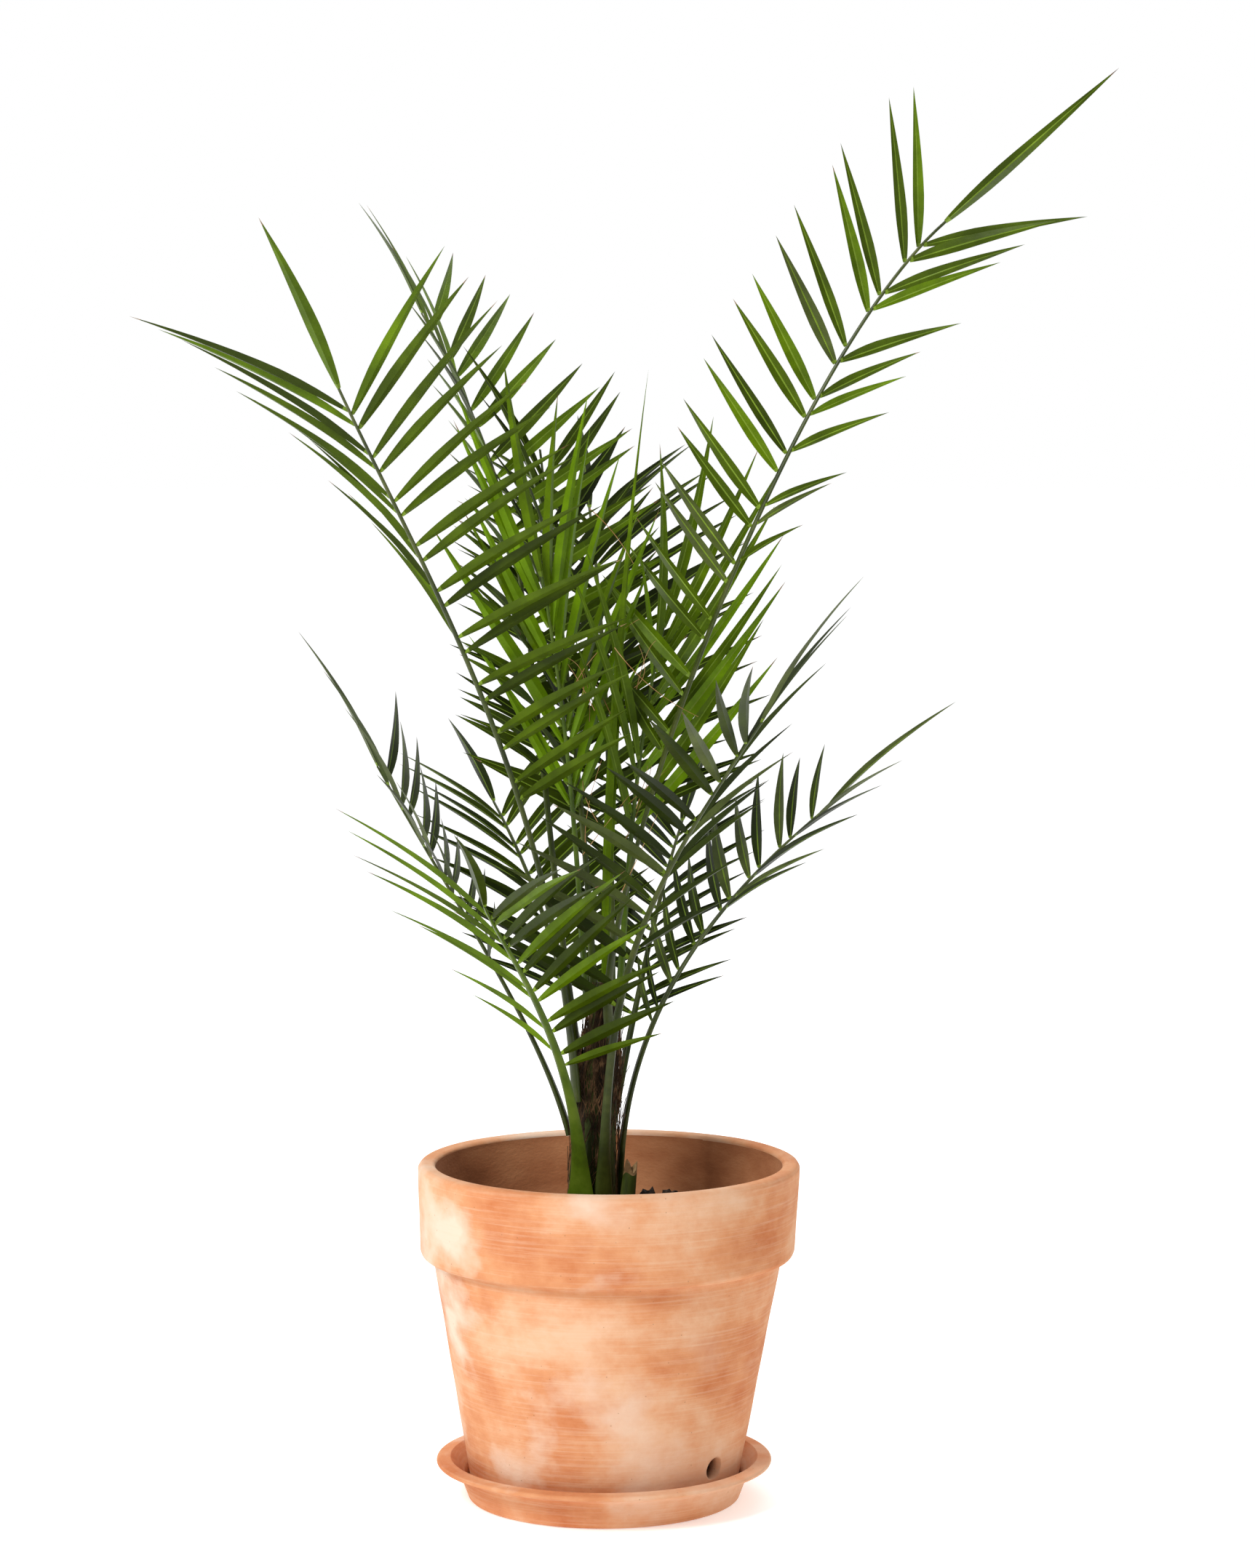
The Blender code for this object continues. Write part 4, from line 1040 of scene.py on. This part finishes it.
def draw_blade(bm, leaflet, green, dice):
    """A V-folded blade with a raised rib, pale in its own colour and lighter still as a painted highlight
    along the fold: top and bottom sheets that meet at the edges.
    """
    twist = dice.uniform(*BLADE_TWISTS)
    hang = dice.uniform(*BLADE_HANGS) * BLADE_HANG
    sideways = dice.uniform(*BLADE_SWAYS) * BLADE_SWAY
    fold = BLADE_FOLD * dice.uniform(*BLADE_FOLDS)
    dry_from = 1 - dice.uniform(*BLADE_DRY_LENGTH) if dice.random() < BLADE_DRY_SHARE else 2.0
    rings = []
    for t in BLADE_STATIONS:
        lift = LEAFLET_BOW * math.sin(math.pi * t) - hang * t ** 3
        middle = leaflet.root + leaflet.along * (leaflet.length * t)
        middle += leaflet.face * (leaflet.length * lift)
        middle += leaflet.rib * (leaflet.length * sideways * t * t)
        turn = twist * t
        rib = leaflet.rib * math.cos(turn) + leaflet.face * math.sin(turn)
        face = leaflet.face * math.cos(turn) - leaflet.rib * math.sin(turn)
        half = leaflet.width / 2 * BLADE_SHARE * blade_width(t)
        shut = half * fold * (1.35 - 0.6 * min(1.0, t * 1.6))
        thin = BLADE_THICKNESS * (1 - 0.5 * t)
        keel = min(BLADE_KEEL, half * RIB_WIDTH * 2) * (1 - 0.5 * t)

        def across(share, rise):
            return middle + rib * (half * share) + face * (shut * abs(share) + rise)

        top = [across(s, thin / 2 * (1 - abs(s))) for s in BLADE_TOP]
        low = [across(s, -thin / 2) for s in BLADE_UNDERSIDE]
        top[len(top) // 2] += face * (keel * 0.5)
        low[1] -= face * keel
        rings.append(top + low)

    def place(k, i):
        if BLADE_STATIONS[k + 1] > dry_from:
            return DRY_PLACE
        # The rib strip and the foot take the pale colour, which is partly a painted highlight
        return PALE_RIB_AND_HIGHLIGHT_PLACE if i in BLADE_RIB_HIGHLIGHT_SIDES or k == 0 else green

    end = loft(bm, rings, place, green, closed=False)
    tip = leaflet.tip() - leaflet.face * (leaflet.length * hang) + leaflet.rib * (leaflet.length * sideways)
    close(bm, end, bm.verts.new(tip), DRY_PLACE if dry_from < 2.0 else green)


def draw_stalk(bm, stalk):
    """The rounded stalk, with a groove along its upper side and a sheath at its foot if it starts low."""
    rings = []
    for k in range(STALK_STEPS + 1):
        reach = stalk.length * k / STALK_STEPS
        place, _, side, upper = stalk.at(reach)
        width, thickness = stalk.size(reach)
        if stalk.frond["height"] < SHEATH_BELOW and reach < SHEATH_LENGTH:
            width *= 1 + SHEATH_FLARE * (1 - reach / SHEATH_LENGTH) ** 2
        ring = []
        for a in turns(STALK_SIDES):
            thick = thickness / 2 * math.sin(a) * (STALK_GROOVE if math.sin(a) > 0.9 else 1.0)
            ring.append(place + side * (width / 2 * math.cos(a)) + upper * thick)
        rings.append(ring)
    loft(bm, rings)


def make_fronds(leaves, fresh_stalk, green_stalk):
    crowd = Crowd()
    for name in ("stem", "cut_stub", "spear"):
        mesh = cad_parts[name].data
        crowd.add([v.co.copy() for v in mesh.vertices], [tuple(p.vertices) for p in mesh.polygons], name)
    stalks = [Stalk(frond) for frond in FRONDS]
    for stalk in stalks:
        crowd.add(*stalk_hull(stalk), stalk.frond["name"])
    for number, stalk in enumerate(stalks, start=1):
        name = stalk.frond["name"]
        young = name.startswith("frond_young")
        slot = "young_leaf" if young else "leaf"
        dice = random.Random(FINE_SEED + number)
        bm = bmesh.new()
        for leaflet in grow_leaflets(stalk, crowd, random.Random(number)):
            # Each blade takes one of its frond's greens, lighter on some fronds as a painted highlight
            draw_blade(bm, leaflet, dice.choice(FROND_GREENS_WITH_PAINTED_HIGHLIGHT[name]), dice)
        face_outward(bm)
        stands_for(new_object(name + "_leaflets", bm, leaves, 28), slot, name)
        bm = bmesh.new()
        draw_stalk(bm, stalk)
        face_outward(bm)
        stalk_material = fresh_stalk if young or name == "frond_left_front" else green_stalk
        stands_for(new_object(name + "_stalk", bm, [stalk_material], 60), slot, name)


def spear_share(t):
    """Share of the spear's full width at t along it."""
    if t < SPEAR_SWELLING:
        swell = math.sin(math.pi * (t / SPEAR_SWELLING) ** 0.9)
        return SPEAR_FOOT_SHARE + (1 - SPEAR_FOOT_SHARE) * swell
    return (1 - t) / (1 - SPEAR_SWELLING) * SPEAR_FOOT_SHARE


def make_spear(green):
    pulls = [Vector(p) + Vector((RIM_SHIFT, 0.0, 0.0)) for p in SPEAR_ROUTE]
    rings = []
    for k in range(SPEAR_STEPS):
        t = k / SPEAR_STEPS
        place = Stalk.bezier(pulls, t)
        along = (Stalk.bezier(pulls, t + 0.005) - place).normalized()
        side = Vector((0.0, 1.0, 0.0)).cross(along).normalized()
        upper = along.cross(side)
        ring = []
        for i, a in enumerate(turns(SPEAR_SIDES)):
            size = spear_share(t) / 2 * (1.0 if i % 2 == 0 else SPEAR_PLEAT)
            thick = upper * (SPEAR_THICKNESS * size * math.sin(a))
            ring.append(place + side * (SPEAR_WIDTH * size * math.cos(a)) + thick)
        rings.append(ring)
    bm = bmesh.new()
    close(bm, loft(bm, rings, closed=False), bm.verts.new(pulls[3]))
    stands_for(new_object("spear_folded", bm, [green], 30), "young_leaf", "spear")


def make_threads(material):
    """Fine fibres that hang loose between the young fronds."""
    dice = random.Random(21)
    routes = [[Vector(p) for p in route] for route in THREADS]
    for _ in range(THREAD_COUNT):
        start, way, bow = (Vector([dice.uniform(*limits) for limits in box])
                           for box in (THREAD_START, THREAD_WAY, THREAD_BOW))
        routes.append([start, start + way * 0.5 + bow, start + way])
    bm = bmesh.new()
    for low, middle, high in routes:
        rings = []
        for k in range(THREAD_STEPS + 1):
            t = k / THREAD_STEPS
            place = low * (1 - t) ** 2 + middle * (2 * t * (1 - t)) + high * t * t
            along = ((middle - low) * (1 - t) + (high - middle) * t).normalized()
            side = along.cross(Vector((0.3, 0.9, 0.1))).normalized()
            upper = along.cross(side)
            size = THREAD_RADIUS * (1 - 0.6 * t)
            rings.append([place + side * (size * math.cos(a)) + upper * (size * math.sin(a))
                          for a in turns(THREAD_SIDES)])
        loft(bm, rings)
    face_outward(bm)
    stands_for(new_object("crown_threads", bm, [material], None), "stem_fibre")


# Studio and camera


def make_stage():
    bpy.ops.mesh.primitive_plane_add(size=FLOOR_SIZE, location=(0, 0, -FLOOR_DROP))
    floor = bpy.context.object
    floor.name = "studio_floor"
    white = bpy.data.materials.new("studio_white")
    white.use_nodes = True
    shader = white.node_tree.nodes["Principled BSDF"]
    shader.inputs["Base Color"].default_value = (FLOOR_WHITE, FLOOR_WHITE, FLOOR_WHITE, 1)
    shader.inputs["Roughness"].default_value = 0.9
    shader.inputs["Emission Color"].default_value = (1, 1, 1, 1)
    shader.inputs["Emission Strength"].default_value = FLOOR_GLOW
    floor.data.materials.append(white)

    world = bpy.data.worlds.new("studio")
    bpy.context.scene.world = world
    world.use_nodes = True
    tree = world.node_tree
    place = add_node(tree, "ShaderNodeTexCoord").outputs["Generated"]
    back = add_node(tree, "ShaderNodeSeparateXYZ", sources={"Vector": place}).outputs["Y"]
    strength = add_range(tree, back, (-WORLD_TURN, WORLD_TURN), WORLD_FRONT, WORLD_BACK)
    sky = tree.nodes["Background"]
    sky.inputs["Color"].default_value = (1, 1, 1, 1)
    tree.links.new(strength, sky.inputs["Strength"])

    for name, place, size, watts, aim in LAMPS:
        lamp = bpy.data.lights.new(name, "AREA")
        lamp.size = size
        lamp.energy = watts
        thing = bpy.data.objects.new(name, lamp)
        thing.location = place
        thing.rotation_euler = (Vector(aim) - Vector(place)).to_track_quat("-Z", "Y").to_euler()
        bpy.context.scene.collection.objects.link(thing)

    view = bpy.data.cameras.new("camera")
    view.sensor_fit = "VERTICAL"
    view.sensor_height = SENSOR
    view.sensor_width = SENSOR
    view.lens = CAMERA_LENS
    camera = bpy.data.objects.new("camera", view)
    camera.location = CAMERA_PLACE
    camera.rotation_euler = (math.radians(CAMERA_TILT), 0.0, 0.0)
    bpy.context.scene.collection.objects.link(camera)
    bpy.context.scene.camera = camera
    bpy.context.scene.view_settings.view_transform = "Standard"


def main():
    make_stage()
    finish = {}
    for name, settings in FINISHES.items():
        over = add_bloom if name == "terracotta_bloom" else None
        finish[name] = new_material(name, over=over, **settings)
    leaves = [leaf_material(name, color) for name, color in (*LEAF_GREENS, LEAF_RIB_AND_HIGHLIGHT)] + [finish["dry_brown"]]

    make_saucer(finish["terracotta_bloom"])
    make_pot(finish["terracotta_bloom"], finish["terracotta_bare"])
    make_soil(finish["potting_soil"])
    make_stem(finish["leaf_base_fibre"], finish["leaf_base_green"], finish["palm_fibre"])
    make_stub(finish["leaf_base_green"], finish["dry_brown"])
    make_spear(leaves[SPEAR_GREEN])
    make_threads(finish["crown_thread"])
    make_fronds(leaves, finish["stalk_fresh"], finish["stalk_green"])


main()
